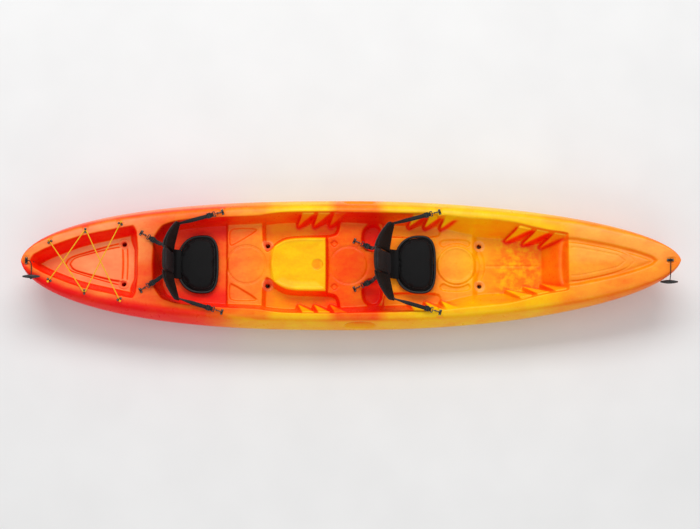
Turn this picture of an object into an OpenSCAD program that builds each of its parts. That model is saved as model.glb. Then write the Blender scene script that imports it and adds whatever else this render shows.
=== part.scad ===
// Tandem sit-on-top kayak with two clip-on seats, a tank well bungee and carry toggles.
// The bow points along +X, port is +Y, and the hull stands on its bottom flats at z = 0.

/* [Hull] */
// Length from stern tip to bow tip
hull_length = 4090; // [4040:10:4300]
// Greatest width, at the seam line
beam = 820; // [790:5:880]
// Height of the rails amidships
gunwale_height = 290; // [280:2:320]
// Height of the deck at the bow tip
bow_height = 380; // [350:5:420]
// Height of the deck at the stern tip
stern_height = 350; // [335:5:400]
// Height of the widest line amidships
seam_height = 145; // [120:5:165]
// How far the rail crests stand in from the widest line amidships
rail_lean = 51; // [35:1:65]
// Thickness of the moulded wall
wall = 4; // [3.5:0.5:6]

/* [Tank well] */
// Distance from the stern tip to the lip of the tank well
tank_setback = 55; // [45:5:80]
// Length of the tank well
tank_length = 657; // [600:5:700]
// Deck left between the tank well and the rail crests
tank_rail = 61; // [50:1:70]
// Height of the tank well floor
tank_floor = 205; // [180:5:230]
// Length of the bridge deck between the tank well and the cockpit
bridge_length = 102; // [95:1:130]

/* [Cockpit] */
// Rail width beside the rear seat
seat_rail = 62; // [56:1:70]
// Rail width beside the centre seat
mid_rail = 42; // [38:1:50]
// Rail width beside the front hatch flat
hatch_rail = 50; // [42:1:60]
// Rail width at the bow end of the cockpit
bow_rail = 84; // [70:1:100]
// Length of the rear seat well
rear_seat_well = 455; // [440:5:480]
// Length of the rear hatch flat
rear_flat = 224; // [210:2:250]
// Length of the rear foot wells
foot_well = 486; // [470:2:500]
// Length of the raised centre seat
centre_seat = 337; // [310:1:345]
// Width of the raised centre seat
centre_seat_width = 336; // [310:2:350]
// Length from the foot wells to the front seat well
mid_flat = 256; // [246:2:280]
// Length of the front seat well
front_seat_well = 341; // [330:1:380]
// Length of the front hatch flat
front_flat = 244; // [230:2:280]
// Length of the bow foot well floor
bow_well = 423; // [380:5:440]
// Run of the sloping bulkhead at the bow end
bulkhead_run = 162; // [130:2:180]

/* [Floor heights] */
// Height of the rear seat floor
rear_seat_floor = 165; // [150:1:175]
// Height of the rear hatch flat
rear_flat_floor = 190; // [180:1:196]
// Height of the rear foot wells
foot_floor = 122; // [110:1:135]
// Height of the centre seat
centre_seat_top = 202; // [198:1:210]
// Height of the middle hatch flat
mid_floor = 164; // [155:1:175]
// Height of the front seat floor
front_seat_floor = 158; // [150:1:170]
// Height of the front hatch flat
front_flat_floor = 150; // [140:1:160]
// Height of the bow foot well
bow_floor = 112; // [100:1:125]

/* [Scuppers and drain] */
// Radius of the scupper bores
scupper_r = 15; // [12:0.5:18]
// Distance between the two scuppers of a pair
scupper_spacing = 254; // [240:2:270]
// Radius of the threaded bore of the drain
drain_r = 10; // [8:0.5:12]

/* [Seats] */
// Length of a seat pad
pad_length = 272; // [250:2:280]
// Width of a seat pad
pad_width = 368; // [340:2:380]
// Thickness of a seat pad at its crown
pad_thick = 44; // [36:1:50]
// Height of a seat back
back_height = 300; // [270:5:340]
// Width of the stiff middle panel of a seat back
back_width = 156; // [140:2:170]
// Thickness of a seat back
back_thick = 26; // [20:1:32]
// Distance between the wing tips of a seat back
wing_span = 500; // [470:2:506]
// Lean of the rear seat back
rear_lean = 6.5; // [4:0.5:12]
// Lean of the front seat back
front_lean = 19.5; // [12:0.5:22]
// Width of the webbing
strap_width = 25; // [20:1:27]
// Thickness of the webbing
strap_thick = 3; // [2:0.2:3.4]

/* [Fittings] */
// Radius of the wire of the pad eyes and snap hooks
wire_r = 2.4; // [2:0.1:2.6]
// Inside radius of a snap hook
hook_r = 10; // [9:0.2:12]
// Diameter of the bungee cord
bungee_d = 7; // [6:0.5:8]
// Diameter of the carry cord
carry_cord_d = 6; // [5:0.5:6.5]
// Length of a carry toggle
toggle_length = 108; // [90:1:120]
// Greatest radius of a carry toggle
toggle_r = 12; // [10:0.5:13]

/* [Hidden] */
$fn = 32;

// Clearances and small fixed sizes
gap = 0.3;
lip_over = 20;
cut = 1;

// Plan taper of the two ends, as the two powers of the outline curve
stern_taper = [2.6, 0.53];
bow_taper = [2, 0.56];
sheer_power = 2.5;
seam_power = 3;
// Height of the stems where they meet the tips, below the deck
stem_drop = 140;
seam_drop = 38;
// Where the bottom starts to rise towards the stems, and how sharply
rocker_start = 1000;
rocker_power = 5;
// The bottom is shaved flat by this much
bottom_flat = 6;
// The outline is cut off just short of a point
tip_share = 0.9995;

// Stations along the hull, from the stern tip to the bow tip
stern_tip = -hull_length / 2;
bow_tip = hull_length / 2;
tank_aft = stern_tip + tank_setback;
tank_fore = tank_aft + tank_length;
cockpit_aft = tank_fore + bridge_length;
rear_flat_aft = cockpit_aft + rear_seat_well;
foot_aft = rear_flat_aft + rear_flat;
foot_fore = foot_aft + foot_well;
centre_gap = 62;
centre_aft = foot_aft + centre_gap;
centre_fore = centre_aft + centre_seat;
front_seat_aft = foot_fore + mid_flat;
front_flat_aft = front_seat_aft + front_seat_well;
bow_well_aft = front_flat_aft + front_flat;
bow_well_fore = bow_well_aft + bow_well;
cockpit_fore = bow_well_fore + bulkhead_run;
panel_gap = 12;
panel_aft = cockpit_fore + panel_gap;

// Shape of the hull
function mix(a, b, t) = a + (b - a) * t;
function along(x) = min(tip_share, abs(x) / (hull_length / 2));
function taper(x, powers) = pow(max(0, 1 - pow(along(x), powers[0])), powers[1]);
function half_beam(x) = beam / 2 * taper(x, x < 0 ? stern_taper : bow_taper);
function tip_height(x) = x < 0 ? stern_height : bow_height;
function deck(x) = mix(gunwale_height, tip_height(x), pow(along(x), sheer_power));
function seam(x) = mix(seam_height, tip_height(x) - seam_drop, pow(along(x), seam_power));
function rise(x) = max(0, (abs(x) - rocker_start) / (hull_length / 2 - rocker_start));
function keel(x) = (tip_height(x) - stem_drop) * pow(rise(x), rocker_power);
function crest(x) = half_beam(x) * (1 - rail_lean / (beam / 2));

// Half of a cross-section, from the keel up to the rail crest, drawn in by inset
bottom_angles = [0, 20, 35, 50, 65, 80, 90];
side_shares = [0.35, 0.7, 0.92];
crest_round = 8;
function bottom_y(t) = pow(sin(t), 0.75);
function bottom_z(t, depth) = max(0, (depth + bottom_flat) * pow(1 - cos(t), 1.3) - bottom_flat);
function half_section(x, inset) =
    let (
        wide = half_beam(x) - inset,
        top_wide = crest(x) - inset,
        low = keel(x) + inset,
        mid = seam(x),
        top = deck(x) - inset
    )
    concat(
        [for (t = bottom_angles) [wide * bottom_y(t), low + bottom_z(t, mid - low)]],
        [for (s = side_shares) [mix(wide, top_wide, pow(s, 1.6)), mix(mid, top, s)]],
        [[top_wide * (1 - crest_round / (beam / 2)) , top]]
    );
function section(x, inset) =
    let (half = half_section(x, inset), last = len(half) - 1)
    concat(
        [for (p = half) [x, p[0], p[1]]],
        [for (i = [last:-1:1]) [x, -half[i][0], half[i][1]]]
    );
function stations(reach, step) = [for (a = [-90:step:90]) reach * sin(a)];

// Loops of points and skins over them
function corner_cut(loop) =
    let (n = len(loop))
    [for (i = [0:n - 1]) let (a = loop[i], b = loop[(i + 1) % n]) each [mix(a, b, 0.25), mix(a, b, 0.75)]];
function smooth(loop, times) = times == 0 ? loop : smooth(corner_cut(loop), times - 1);
function edge_out(a, b) = [b[1] - a[1], a[0] - b[0]] / norm(b - a);
function grown(loop, by) =
    let (n = len(loop))
    [for (i = [0:n - 1])
        let (
            before = edge_out(loop[(i + n - 1) % n], loop[i]),
            after = edge_out(loop[i], loop[(i + 1) % n])
        )
        loop[i] + by * (before + after) / (1 + before * after)];
function unit(v) = v / norm(v);
function eased(loop, by) =
    let (n = len(loop))
    [for (i = [0:n - 1])
        let (
            a = loop[i],
            b = loop[(i + 1) % n],
            run = min(by, norm(b - a) / 3) * unit(b - a)
        )
        each [a + run, b - run]];
function mirrored(side) =
    let (last = len(side) - 1)
    concat([for (p = side) [p[0], -p[1]]], [for (i = [last:-1:0]) side[i]]);
function at_height(loop, z) = [for (p = loop) [p[0], p[1], z]];

module loft(rings) {
    n = len(rings[0]);
    last = len(rings) - 1;
    polyhedron(
        points = [for (ring = rings) each ring],
        faces = concat(
            [[for (j = [0:n - 1]) j]],
            [[for (j = [n - 1:-1:0]) last * n + j]],
            [for (i = [0:last - 1], j = [0:n - 1])
                let (a = i * n + j, b = i * n + (j + 1) % n)
                each [[a, a + n, b], [b, a + n, b + n]]]
        )
    );
}

corner = 45;
// A moulded hollow from its floor loop up to its lip loop, made larger all round by grow
module well(floor_loop, floor_z, lip_loop, lip_z, grow) {
    rounding = grow > 0 ? 0 : 1;
    loft([
        at_height(smooth(eased(grown(floor_loop, grow), corner), rounding), floor_z - grow),
        at_height(smooth(eased(grown(lip_loop, grow), corner), rounding), lip_z)
    ]);
}
module plain_well(loop, floor_z, lip_z, draft, grow) {
    well(grown(loop, -draft), floor_z, loop, lip_z, grow);
}
module both_sides() {
    children();
    mirror([0, 1, 0]) children();
}

// Lips and floors, port side from aft to fore
function rim(x, rail) = crest(x) - rail;
function rim_at(x, rail) = [x, rim(x, rail)];
function rim_in(x, rail, by) = [x, rim(x, rail) - by];
// Half the straight stretch across the middle of a lip's end
end_half = 60;
tank_nose_half = 16;
tank_corner = 52;
tank_mid = mix(tank_aft, tank_fore, 0.45);
tank_lip = mirrored([
    [tank_aft, tank_nose_half],
    rim_at(tank_aft + tank_corner, tank_rail),
    rim_at(tank_mid, tank_rail),
    rim_at(tank_fore - tank_corner, tank_rail),
    rim_at(tank_fore, tank_rail),
    [tank_fore, end_half]
]);
tank_draft = 40;
shoulder = [10, 200];
shoulder_run = 120;
foot_run = 110;
bow_run_in = 200;
cockpit_lip = mirrored([
    [cockpit_aft, end_half],
    [cockpit_aft + shoulder[0], shoulder[1]],
    rim_at(cockpit_aft + shoulder_run, seat_rail),
    rim_at(rear_flat_aft, seat_rail),
    rim_at(foot_aft, seat_rail),
    rim_at(foot_aft + foot_run, mid_rail),
    rim_at(foot_fore, mid_rail),
    rim_at(front_seat_aft, mid_rail),
    rim_at(front_flat_aft, mid_rail),
    rim_at(bow_well_aft, hatch_rail),
    rim_at(bow_well_fore - bow_run_in, hatch_rail),
    rim_at(bow_well_fore, bow_rail),
    rim_at(cockpit_fore, bow_rail),
    [cockpit_fore, end_half]
]);
// The walls lean in by this much down to the ledge, and each floor is let in a step further
ledge_in = 16;
floor_in = ledge_in + 6;
foot_in = ledge_in + 10;
bulkhead_share = 0.5;
cockpit_ledge = [for (p = grown(cockpit_lip, -ledge_in))
    [p[0] > bow_well_fore ? mix(p[0], bow_well_fore, bulkhead_share) : p[0], p[1]]];
seat_corner = [16, 170];
seat_corner_run = 130;
rear_seat_lip = mirrored([
    [cockpit_aft + floor_in, end_half],
    [cockpit_aft + ledge_in + seat_corner[0], seat_corner[1]],
    rim_in(cockpit_aft + seat_corner_run, seat_rail, floor_in),
    rim_in(rear_flat_aft, seat_rail, floor_in)
]);
function flat_lip(from, to, rail_from, rail_to) = mirrored([
    rim_in(from, rail_from, floor_in),
    rim_in(to, rail_to, floor_in)
]);
// The foot wells reach in behind the centre seat as far as their scuppers need
channel_gap = 6;
heel_in = 84;
heel_run = [-8, 60];
foot_side = centre_seat_width / 2 + channel_gap;
foot_lip = [
    [foot_aft, heel_in],
    [centre_aft + heel_run[0], heel_in],
    [centre_aft + heel_run[1], foot_side],
    [foot_fore, foot_side],
    rim_in(foot_fore, mid_rail, foot_in),
    rim_in(foot_aft + foot_run, mid_rail, foot_in),
    rim_in(foot_aft, seat_rail, foot_in)
];
pocket_length = 126;
pocket_half = [78, 250];
pocket_aft = front_seat_aft - pocket_length;
pocket_lip = [
    [pocket_aft, pocket_half[0]],
    [front_seat_aft, pocket_half[0]],
    [front_seat_aft, pocket_half[1]],
    [pocket_aft, pocket_half[1]]
];
channel_half = [178, 242];
channel_aft = front_seat_aft + 100;
channel_fore = front_flat_aft + 30;
channel_lip = [
    [channel_aft, channel_half[0]],
    [channel_fore, channel_half[0]],
    [channel_fore, channel_half[1]],
    [channel_aft, channel_half[1]]
];
toe_half = 113;
heel_half = 178;
heel_ease = 6;
bow_heel_run = 120;
bow_end_half = 50;
bow_lip_fore = mix(cockpit_fore, bow_well_fore, bulkhead_share);
bow_foot_floor = mirrored([
    [bow_well_aft, end_half],
    [bow_well_aft, heel_half],
    [bow_well_aft + bow_heel_run, heel_half - heel_ease],
    [bow_well_fore, toe_half],
    [bow_well_fore, bow_end_half]
]);
bow_foot_lip = mirrored([
    [bow_well_aft - heel_ease, end_half],
    [bow_well_aft - heel_ease, rim(bow_well_aft, hatch_rail) - foot_in],
    rim_in(bow_well_aft + bow_heel_run, hatch_rail, foot_in),
    [bow_lip_fore, rim(bow_well_fore, bow_rail) - floor_in * 2],
    [bow_lip_fore, bow_end_half]
]);
panel_rail = 104;
panel_setback = 150;
panel_fore = bow_tip - panel_setback;
panel_mid = mix(panel_aft, panel_fore, 0.5);
panel_tip_half = 14;
panel_draft = 6;
panel_depth = 9;
panel_lip = mirrored([
    rim_at(panel_aft, panel_rail),
    rim_at(panel_mid, panel_rail),
    [panel_fore, panel_tip_half]
]);
// The panel floor follows the rise of the foredeck
panel_floor = [for (p = grown(panel_lip, -panel_draft)) [p[0], p[1], deck(p[0]) - panel_depth]];

// Foot ridges: fins on the walls of the foot wells, each with a low tip that lies aft of its foot
ridge_pitch = 100;
bow_ridge_pitch = 110;
ridge_foot = 66;
ridge_reach = 58;
ridge_rake = 34;
ridge_root = 60;
ridge_sink = 2;
ridge_top = 34;
ridge_tip_rise = 30;
rear_ridges = [for (i = [0:2]) foot_fore - 234 + i * ridge_pitch];
front_ridges = [for (i = [0:2]) front_seat_aft + 207 + i * ridge_pitch];
bow_ridges = [for (i = [0:2]) bow_well_aft + 280 + i * bow_ridge_pitch];
module ridge(x, y_aft, y_fore, floor_z, grow) {
    aft = x + grow;
    fore = x + ridge_foot - 2 * grow;
    tip_x = x - ridge_rake + 2 * grow;
    tip_y = y_aft - ridge_reach + 3 * grow;
    plan = [
        [aft, y_aft + ridge_root],
        [aft, y_aft],
        [tip_x, tip_y],
        [fore, y_fore],
        [fore, y_fore + ridge_root]
    ];
    tip_z = floor_z + ridge_tip_rise - grow;
    top_z = gunwale_height - ridge_top - grow;
    loft([
        at_height(plan, floor_z - ridge_sink - grow),
        [for (p = plan) [p[0], p[1], p[1] == tip_y ? tip_z : top_z]]
    ]);
}
module ridges(grow) {
    for (x = rear_ridges) {
        wall_y = rim(x, mid_rail) - foot_in;
        ridge(x, wall_y, wall_y, foot_floor, grow);
    }
    for (x = front_ridges) {
        wall_y = rim(x, mid_rail) - ledge_in;
        ridge(x, wall_y, wall_y, foot_floor, grow);
    }
    for (x = bow_ridges) ridge(x, bow_wall(x), bow_wall(x + ridge_foot), bow_floor, grow);
}
function bow_wall(x) =
    let (t = (x - bow_well_aft) / (cockpit_fore - bow_well_aft))
    mix(rim(bow_well_aft, hatch_rail), rim(cockpit_fore, bow_rail), t) - ledge_in;

// Side carry scoops under the rails
scoop_x = foot_fore + 124;
scoop_length = 212;
scoop_height = 62;
scoop_z = gunwale_height - 68;
scoop_depth = 64;
scoop_draft = 8;
scoop_taper = 0.8;
module side_scoop(grow) {
    half = scoop_length / 2;
    loop = [
        [scoop_x - half, -scoop_z - scoop_height / 2],
        [scoop_x + half, -scoop_z - scoop_height / 2],
        [scoop_x + half * scoop_taper, -scoop_z + scoop_height / 2],
        [scoop_x - half * scoop_taper, -scoop_z + scoop_height / 2]
    ];
    rotate([-90, 0, 0]) plain_well(loop, beam / 2 - scoop_depth, beam / 2 + lip_over, scoop_draft, grow);
}

// Every hollow that is moulded into the deck and sides
lip_z = max(deck(cockpit_fore), deck(cockpit_aft)) + lip_over;
low_lip = centre_seat_top + cut;
flat_lap = 20;
seat_draft = 10;
foot_draft = 7;
pocket_draft = 6;
flat_draft = 5;
module wells(grow) {
    tank_top = deck(tank_aft) + lip_over;
    plain_well(tank_lip, tank_floor, tank_top, tank_draft, grow);
    difference() {
        union() {
            well(cockpit_ledge, centre_seat_top, cockpit_lip, lip_z, grow);
            plain_well(rear_seat_lip, rear_seat_floor, low_lip, seat_draft, grow);
            flat_well(rear_flat_aft - flat_lap, foot_aft, seat_rail, seat_rail, rear_flat_floor, grow);
            flat_well(centre_fore, front_seat_aft, mid_rail, mid_rail, mid_floor, grow);
            flat_well(
                front_seat_aft - flat_lap, front_flat_aft + flat_lap,
                mid_rail, mid_rail, front_seat_floor, grow
            );
            flat_well(front_flat_aft, bow_well_aft + flat_lap, mid_rail, hatch_rail, front_flat_floor, grow);
            well(bow_foot_floor, bow_floor, bow_foot_lip, low_lip, grow);
            both_sides() {
                plain_well(foot_lip, foot_floor, low_lip, foot_draft, grow);
                plain_well(pocket_lip, foot_floor, low_lip, pocket_draft, grow);
                plain_well(channel_lip, foot_floor, low_lip, pocket_draft, grow);
            }
        }
        both_sides() ridges(grow);
    }
    both_sides() side_scoop(grow);
}
module flat_well(from, to, rail_from, rail_to, floor_z, grow) {
    plain_well(flat_lip(from, to, rail_from, rail_to), floor_z, low_lip, flat_draft, grow);
}
module bow_panel() {
    loft([panel_floor, at_height(panel_lip, bow_height + lip_over)]);
}

// Scupper tubes stand between the floors and the bottom
tank_scupper_in = 87;
foot_scupper_in = 30;
bow_scupper_in = 36;
scuppers = [
    [tank_fore - tank_scupper_in, tank_floor],
    [foot_aft + foot_scupper_in, foot_floor],
    [bow_well_aft + bow_scupper_in, bow_floor]
];
module scupper_tubes(r, over) {
    for (s = scuppers, side = [-1, 1])
        translate([s[0], side * scupper_spacing / 2, -lip_over]) cylinder(r = r, h = s[1] + lip_over + over);
}

// The drain sits in a round recess at the stern, under the deck
drain_in = 62;
drain_below = 62;
drain_seat = stern_tip + drain_in;
drain_z = stern_height - drain_below;
recess_r = 24;
drain_flange_r = 18;
socket_wall = 3;
flange_thick = 3;
gasket_thick = 2;
gasket_rim = 2;
gasket_ease = 0.5;
drain_reach = 40;
socket_reach = 8;
module aft_cylinder(from, to, r) {
    translate([from, 0, drain_z]) rotate([0, 90, 0]) cylinder(r = r, h = to - from);
}
module drain_recess(grow) {
    aft_cylinder(stern_tip - lip_over, drain_seat + grow, recess_r + grow);
}

// Pad eyes lie on flats let into the rails
flat_depth = 2;
eye_bar = 14;
leg_half = 7;
rivet_r = 2;
rivet_ease = 0.1;
rivet_hole_r = 2.4;
rivet_bulb_r = 2.6;
rivet_bulb = 4;
bulb_gap = 1;
rivet_head_r = 3.2;
rivet_head = 1.8;
plate_rim = 0.8;
seat_ease = 1;
// A plate is just long enough for the two legs and a rivet beyond each
function rivet_at(leg, r) = leg + r + gap + rivet_head_r;
function plate_at(leg, r, wide, thick) = [wide, 2 * (rivet_at(leg, r) + rivet_head_r + plate_rim), thick];
rivet_half = rivet_at(leg_half, wire_r);
plate = plate_at(leg_half, wire_r, 14, 3);
eye_on_bridge = 74;
eye_bridge_y = 181;
eye_mid_y = 153;
eye_mid_x = foot_fore + 90;
eye_side_back = 24;
eye_side_fore = 25;
eye_side_in = 27.5;

// A seat: hinge station, floor, lean, then the two pad eye stations, each with x, y, z and let-in depth
hinge_rise = 30;
pad_setback = 8;
rear_seat = [cockpit_aft + 131, rear_seat_floor, rear_lean];
front_seat = [front_seat_aft + 74, front_seat_floor, front_lean];
rear_side_x = rear_flat_aft - eye_side_back;
front_side_x = front_flat_aft + eye_side_fore;
rear_aft_x = cockpit_aft - eye_on_bridge;
rear_side_y = crest(rear_side_x) - eye_side_in;
front_side_y = crest(front_side_x) - eye_side_in;
rear_aft_eye = [rear_aft_x, eye_bridge_y, deck(rear_aft_x) - flat_depth, flat_depth];
rear_side_eye = [rear_side_x, rear_side_y, deck(rear_side_x) - flat_depth, flat_depth];
front_aft_eye = [eye_mid_x, eye_mid_y, mid_floor, 0];
front_side_eye = [front_side_x, front_side_y, deck(front_side_x) - flat_depth, flat_depth];

// Where the straps are sewn to a seat back, in the back's own frame
wing_sweep = 48;
wing_tip_z = 140;
wing_tip_height = 46;
wing_tip_thick = 12;
aft_slant = 0.18;
tip_slant = 0.15;
wing_root_thick = 22;
back_setback = 2;
aft_anchor = [
    -back_setback - wing_root_thick - aft_slant * strap_width,
    back_width / 2 + 8,
    back_height * 0.62
];
tip_anchor = [wing_sweep + tip_slant * strap_width, wing_span / 2 - 14, wing_tip_z];
function hinge_z(seat) = seat[1] + hinge_rise;
function leaned(seat, p) = [
    seat[0] + p[0] * cos(seat[2]) - p[2] * sin(seat[2]),
    p[1],
    hinge_z(seat) + p[0] * sin(seat[2]) + p[2] * cos(seat[2])
];
function eye_yaw(seat, eye, anchor) =
    let (from = leaned(seat, anchor)) atan2(eye[1] - from[1], eye[0] - from[0]);
eyes = [
    [rear_aft_eye, eye_yaw(rear_seat, rear_aft_eye, aft_anchor)],
    [rear_side_eye, eye_yaw(rear_seat, rear_side_eye, tip_anchor)],
    [front_aft_eye, eye_yaw(front_seat, front_aft_eye, aft_anchor)],
    [front_side_eye, eye_yaw(front_seat, front_side_eye, tip_anchor)]
];
module at_eye(eye) {
    translate([eye[0][0], eye[0][1], eye[0][2]]) rotate(eye[1]) children();
}

// The moulded hull: an outer skin, an inner skin, and the hollows with a wall round them
end_wall = 25;
module outer_skin() {
    loft([for (x = stations(bow_tip, 6)) section(x, 0)]);
}
module inner_skin() {
    loft([for (x = stations(bow_tip - end_wall, 10)) section(x, wall)]);
}
module cavity() {
    difference() {
        inner_skin();
        wells(wall);
        translate([0, 0, -wall]) bow_panel();
        scupper_tubes(scupper_r + wall, cut);
        drain_recess(wall);
    }
}
module eye_seat(base, half) {
    translate([-base[0] / 2 - seat_ease, -base[1] / 2 - seat_ease, 0])
        cube([base[0] + 2 * seat_ease, base[1] + 2 * seat_ease, lip_over]);
    for (v = [-1, 1])
        translate([0, v * half, -lip_over]) cylinder(r = rivet_hole_r, h = 2 * lip_over, $fn = 6);
}
module eye_seats() {
    for (eye = eyes, side = [0, 1]) mirror([0, side, 0]) at_eye(eye) eye_seat(plate, rivet_half);
    for (eye = bungee_spots, side = [0, 1]) mirror([0, side, 0]) at_eye(eye)
        eye_seat(cord_plate, cord_rivet_half);
    for (eye = carry_eyes) at_eye(eye) eye_seat(carry_plate, carry_rivet_half);
}
module moulding() {
    difference() {
        outer_skin();
        wells(0);
        bow_panel();
        drain_recess(0);
        cavity();
        eye_seats();
        aft_cylinder(drain_seat - cut, drain_seat + drain_reach, drain_r);
    }
}
module hull() {
    color("darkorange") difference() {
        resize([hull_length, beam, 0]) moulding();
        scupper_tubes(scupper_r, lip_over);
        aft_cylinder(drain_seat - cut, drain_seat + drain_reach, drain_r + socket_wall + gap);
    }
}

// Drain
module drain_socket() {
    color("dimgray") difference() {
        union() {
            aft_cylinder(drain_seat - flange_thick, drain_seat, drain_flange_r);
            aft_cylinder(drain_seat - flange_thick, drain_seat + wall + socket_reach, drain_r + socket_wall);
        }
        aft_cylinder(drain_seat - flange_thick - cut, drain_seat + wall + socket_reach + cut, drain_r);
    }
}
module drain_gasket() {
    color("black") difference() {
        aft_cylinder(
            drain_seat - flange_thick - gasket_thick,
            drain_seat - flange_thick,
            drain_flange_r - gasket_rim
        );
        aft_cylinder(drain_seat - 2 * flange_thick, drain_seat, drain_r + gasket_ease);
    }
}
cap_thick = 7;
cap_rim = 1;
grip = [9, 28, 6];
thread_gap = 0.05;
thread_short = 2;
module drain_plug() {
    cap = drain_seat - flange_thick - gasket_thick;
    color("black") union() {
        aft_cylinder(cap - cap_thick, cap, drain_flange_r - cap_rim);
        aft_cylinder(cap - cut, drain_seat + wall + socket_reach - thread_short, drain_r - thread_gap);
        translate([cap - cap_thick - grip[0], -grip[1] / 2, drain_z - grip[2] / 2])
            cube([grip[0] + cut, grip[1], grip[2]]);
    }
}

// Pad eyes, their rivets and what holds on to them
module deck_eye(base, bar_z, half, r, rivet_y) {
    difference() {
        union() {
            translate([-base[0] / 2, -base[1] / 2, 0]) cube(base);
            for (v = [-1, 1]) {
                translate([0, v * half, base[2] - cut]) cylinder(r = r, h = bar_z - base[2] + cut);
                translate([0, v * half, bar_z]) sphere(r = r);
            }
            translate([0, 0, bar_z]) rotate([90, 0, 0]) cylinder(r = r, h = 2 * half, center = true);
        }
        for (v = [-1, 1])
            translate([0, v * rivet_y, -cut]) cylinder(r = rivet_r + rivet_ease, h = base[2] + 2 * cut);
    }
}
module rivet(half, grip_depth, thick) {
    deep = grip_depth + bulb_gap + rivet_bulb;
    for (v = [-1, 1]) translate([0, v * half, 0]) {
        translate([0, 0, thick]) cylinder(r = rivet_head_r, h = rivet_head);
        translate([0, 0, -deep]) cylinder(r = rivet_r, h = deep + thick + cut);
        translate([0, 0, -deep]) cylinder(r = rivet_bulb_r, h = rivet_bulb);
    }
}
module strap_pad_eyes() {
    color("dimgray") for (eye = eyes, side = [0, 1]) mirror([0, side, 0]) at_eye(eye)
        deck_eye(plate, eye_bar, leg_half, wire_r, rivet_half);
}
module pad_eye_rivets() {
    color("silver") for (eye = eyes, side = [0, 1]) mirror([0, side, 0]) at_eye(eye)
        rivet(rivet_half, wall - eye[0][3], plate[2]);
}

// Tank well bungee: an eye aft, a guide amidships and an eye fore on each side
cord_leg_half = 7;
cord_wire_r = 2;
cord_rivet_half = rivet_at(cord_leg_half, cord_wire_r);
cord_plate = plate_at(cord_leg_half, cord_wire_r, 12, 2.5);
cord_z = cord_plate[2] + gap + bungee_d / 2;
cord_bar = cord_z + bungee_d / 2 + gap + cord_wire_r;
spot_out = 24;
guide_out = 26;
cord_flat = 1;
function on_rim(x, out) = [x, rim(x, tank_rail) + out, deck(x) - cord_flat, cord_flat];
spot_runs = [121, 338, 554];
aft_spot = on_rim(tank_aft + spot_runs[0], spot_out);
guide_spot = on_rim(tank_aft + spot_runs[1], guide_out);
fore_spot = on_rim(tank_aft + spot_runs[2], spot_out);
function spot_yaw(from, to) = atan2(from[1] + to[1], from[0] - to[0]);
bungee_spots = [
    [aft_spot, spot_yaw(aft_spot, guide_spot)],
    [guide_spot, 0],
    [fore_spot, spot_yaw(fore_spot, guide_spot)]
];
cross_lift = bungee_d / 2 + 0.4;
end_run = 14;
turn_r = 9;
function cord_at(spot) = [spot[0], spot[1], spot[2] + cord_z];
function flip(p) = [p[0], -p[1], p[2]];
function beyond(p, yaw, run) = p + run * [cos(yaw), sin(yaw), 0];
// The knots stand on the deck, and each cord end rises to its knot
knot_r = 7.5;
function knot_at(spot) =
    let (p = beyond(spot[0], spot[1], end_run + knot_r + gap)) [p[0], p[1], deck(p[0]) + knot_r + gap];
function cord_end(spot) =
    let (p = beyond(spot[0], spot[1], end_run)) [p[0], p[1], knot_at(spot)[2]];
function cross_point(a, b, lift) =
    let (t = a[1] / (a[1] - b[1]), p = mix(a, b, t)) [p[0], 0, p[2] + lift];
function bungee_route(lift) =
    let (
        a = cord_at(aft_spot),
        g = flip(cord_at(guide_spot)),
        f = cord_at(fore_spot)
    )
    concat(
        [cord_end(bungee_spots[0]), a, cross_point(a, g, lift)],
        [for (turn = [-58:29:58])
            [g[0] + turn_r * sin(turn), g[1] + turn_r * (1 - cos(turn)), g[2]]],
        [cross_point(g, f, -lift), f, cord_end(bungee_spots[2])]
    );
cord_sides = 10;
function sweep_ring(route, i, r, ref) =
    let (
        last = len(route) - 1,
        t = unit(route[min(i + 1, last)] - route[max(i - 1, 0)]),
        s = unit(cross(t, ref)),
        u = cross(s, t)
    )
    [for (k = [0:cord_sides - 1]) let (a = 360 * k / cord_sides) route[i] + r * (cos(a) * s - sin(a) * u)];
module tube(route, d, ref) {
    loft([for (i = [0:len(route) - 1]) sweep_ring(route, i, d / 2, ref)]);
}
up = [0, 0, 1];
forward = [1, 0, 0];
slanted = [0.3, 1, 0.6];
module bungee_port() {
    color("gold") tube(bungee_route(cross_lift), bungee_d, up);
}
module bungee_starboard() {
    color("gold") mirror([0, 1, 0]) tube(bungee_route(-cross_lift), bungee_d, up);
}
module bungee_eyes() {
    color("black") for (eye = bungee_spots, side = [0, 1]) mirror([0, side, 0]) at_eye(eye)
        deck_eye(cord_plate, cord_bar, cord_leg_half, cord_wire_r, cord_rivet_half);
}
module bungee_eye_rivets() {
    color("silver") for (eye = bungee_spots, side = [0, 1]) mirror([0, side, 0]) at_eye(eye)
        rivet(cord_rivet_half, wall - eye[0][3], cord_plate[2]);
}
module bungee_knots() {
    color("gold") for (k = [0, 2], side = [0, 1]) mirror([0, side, 0])
        translate(knot_at(bungee_spots[k])) sphere(r = knot_r);
}

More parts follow.
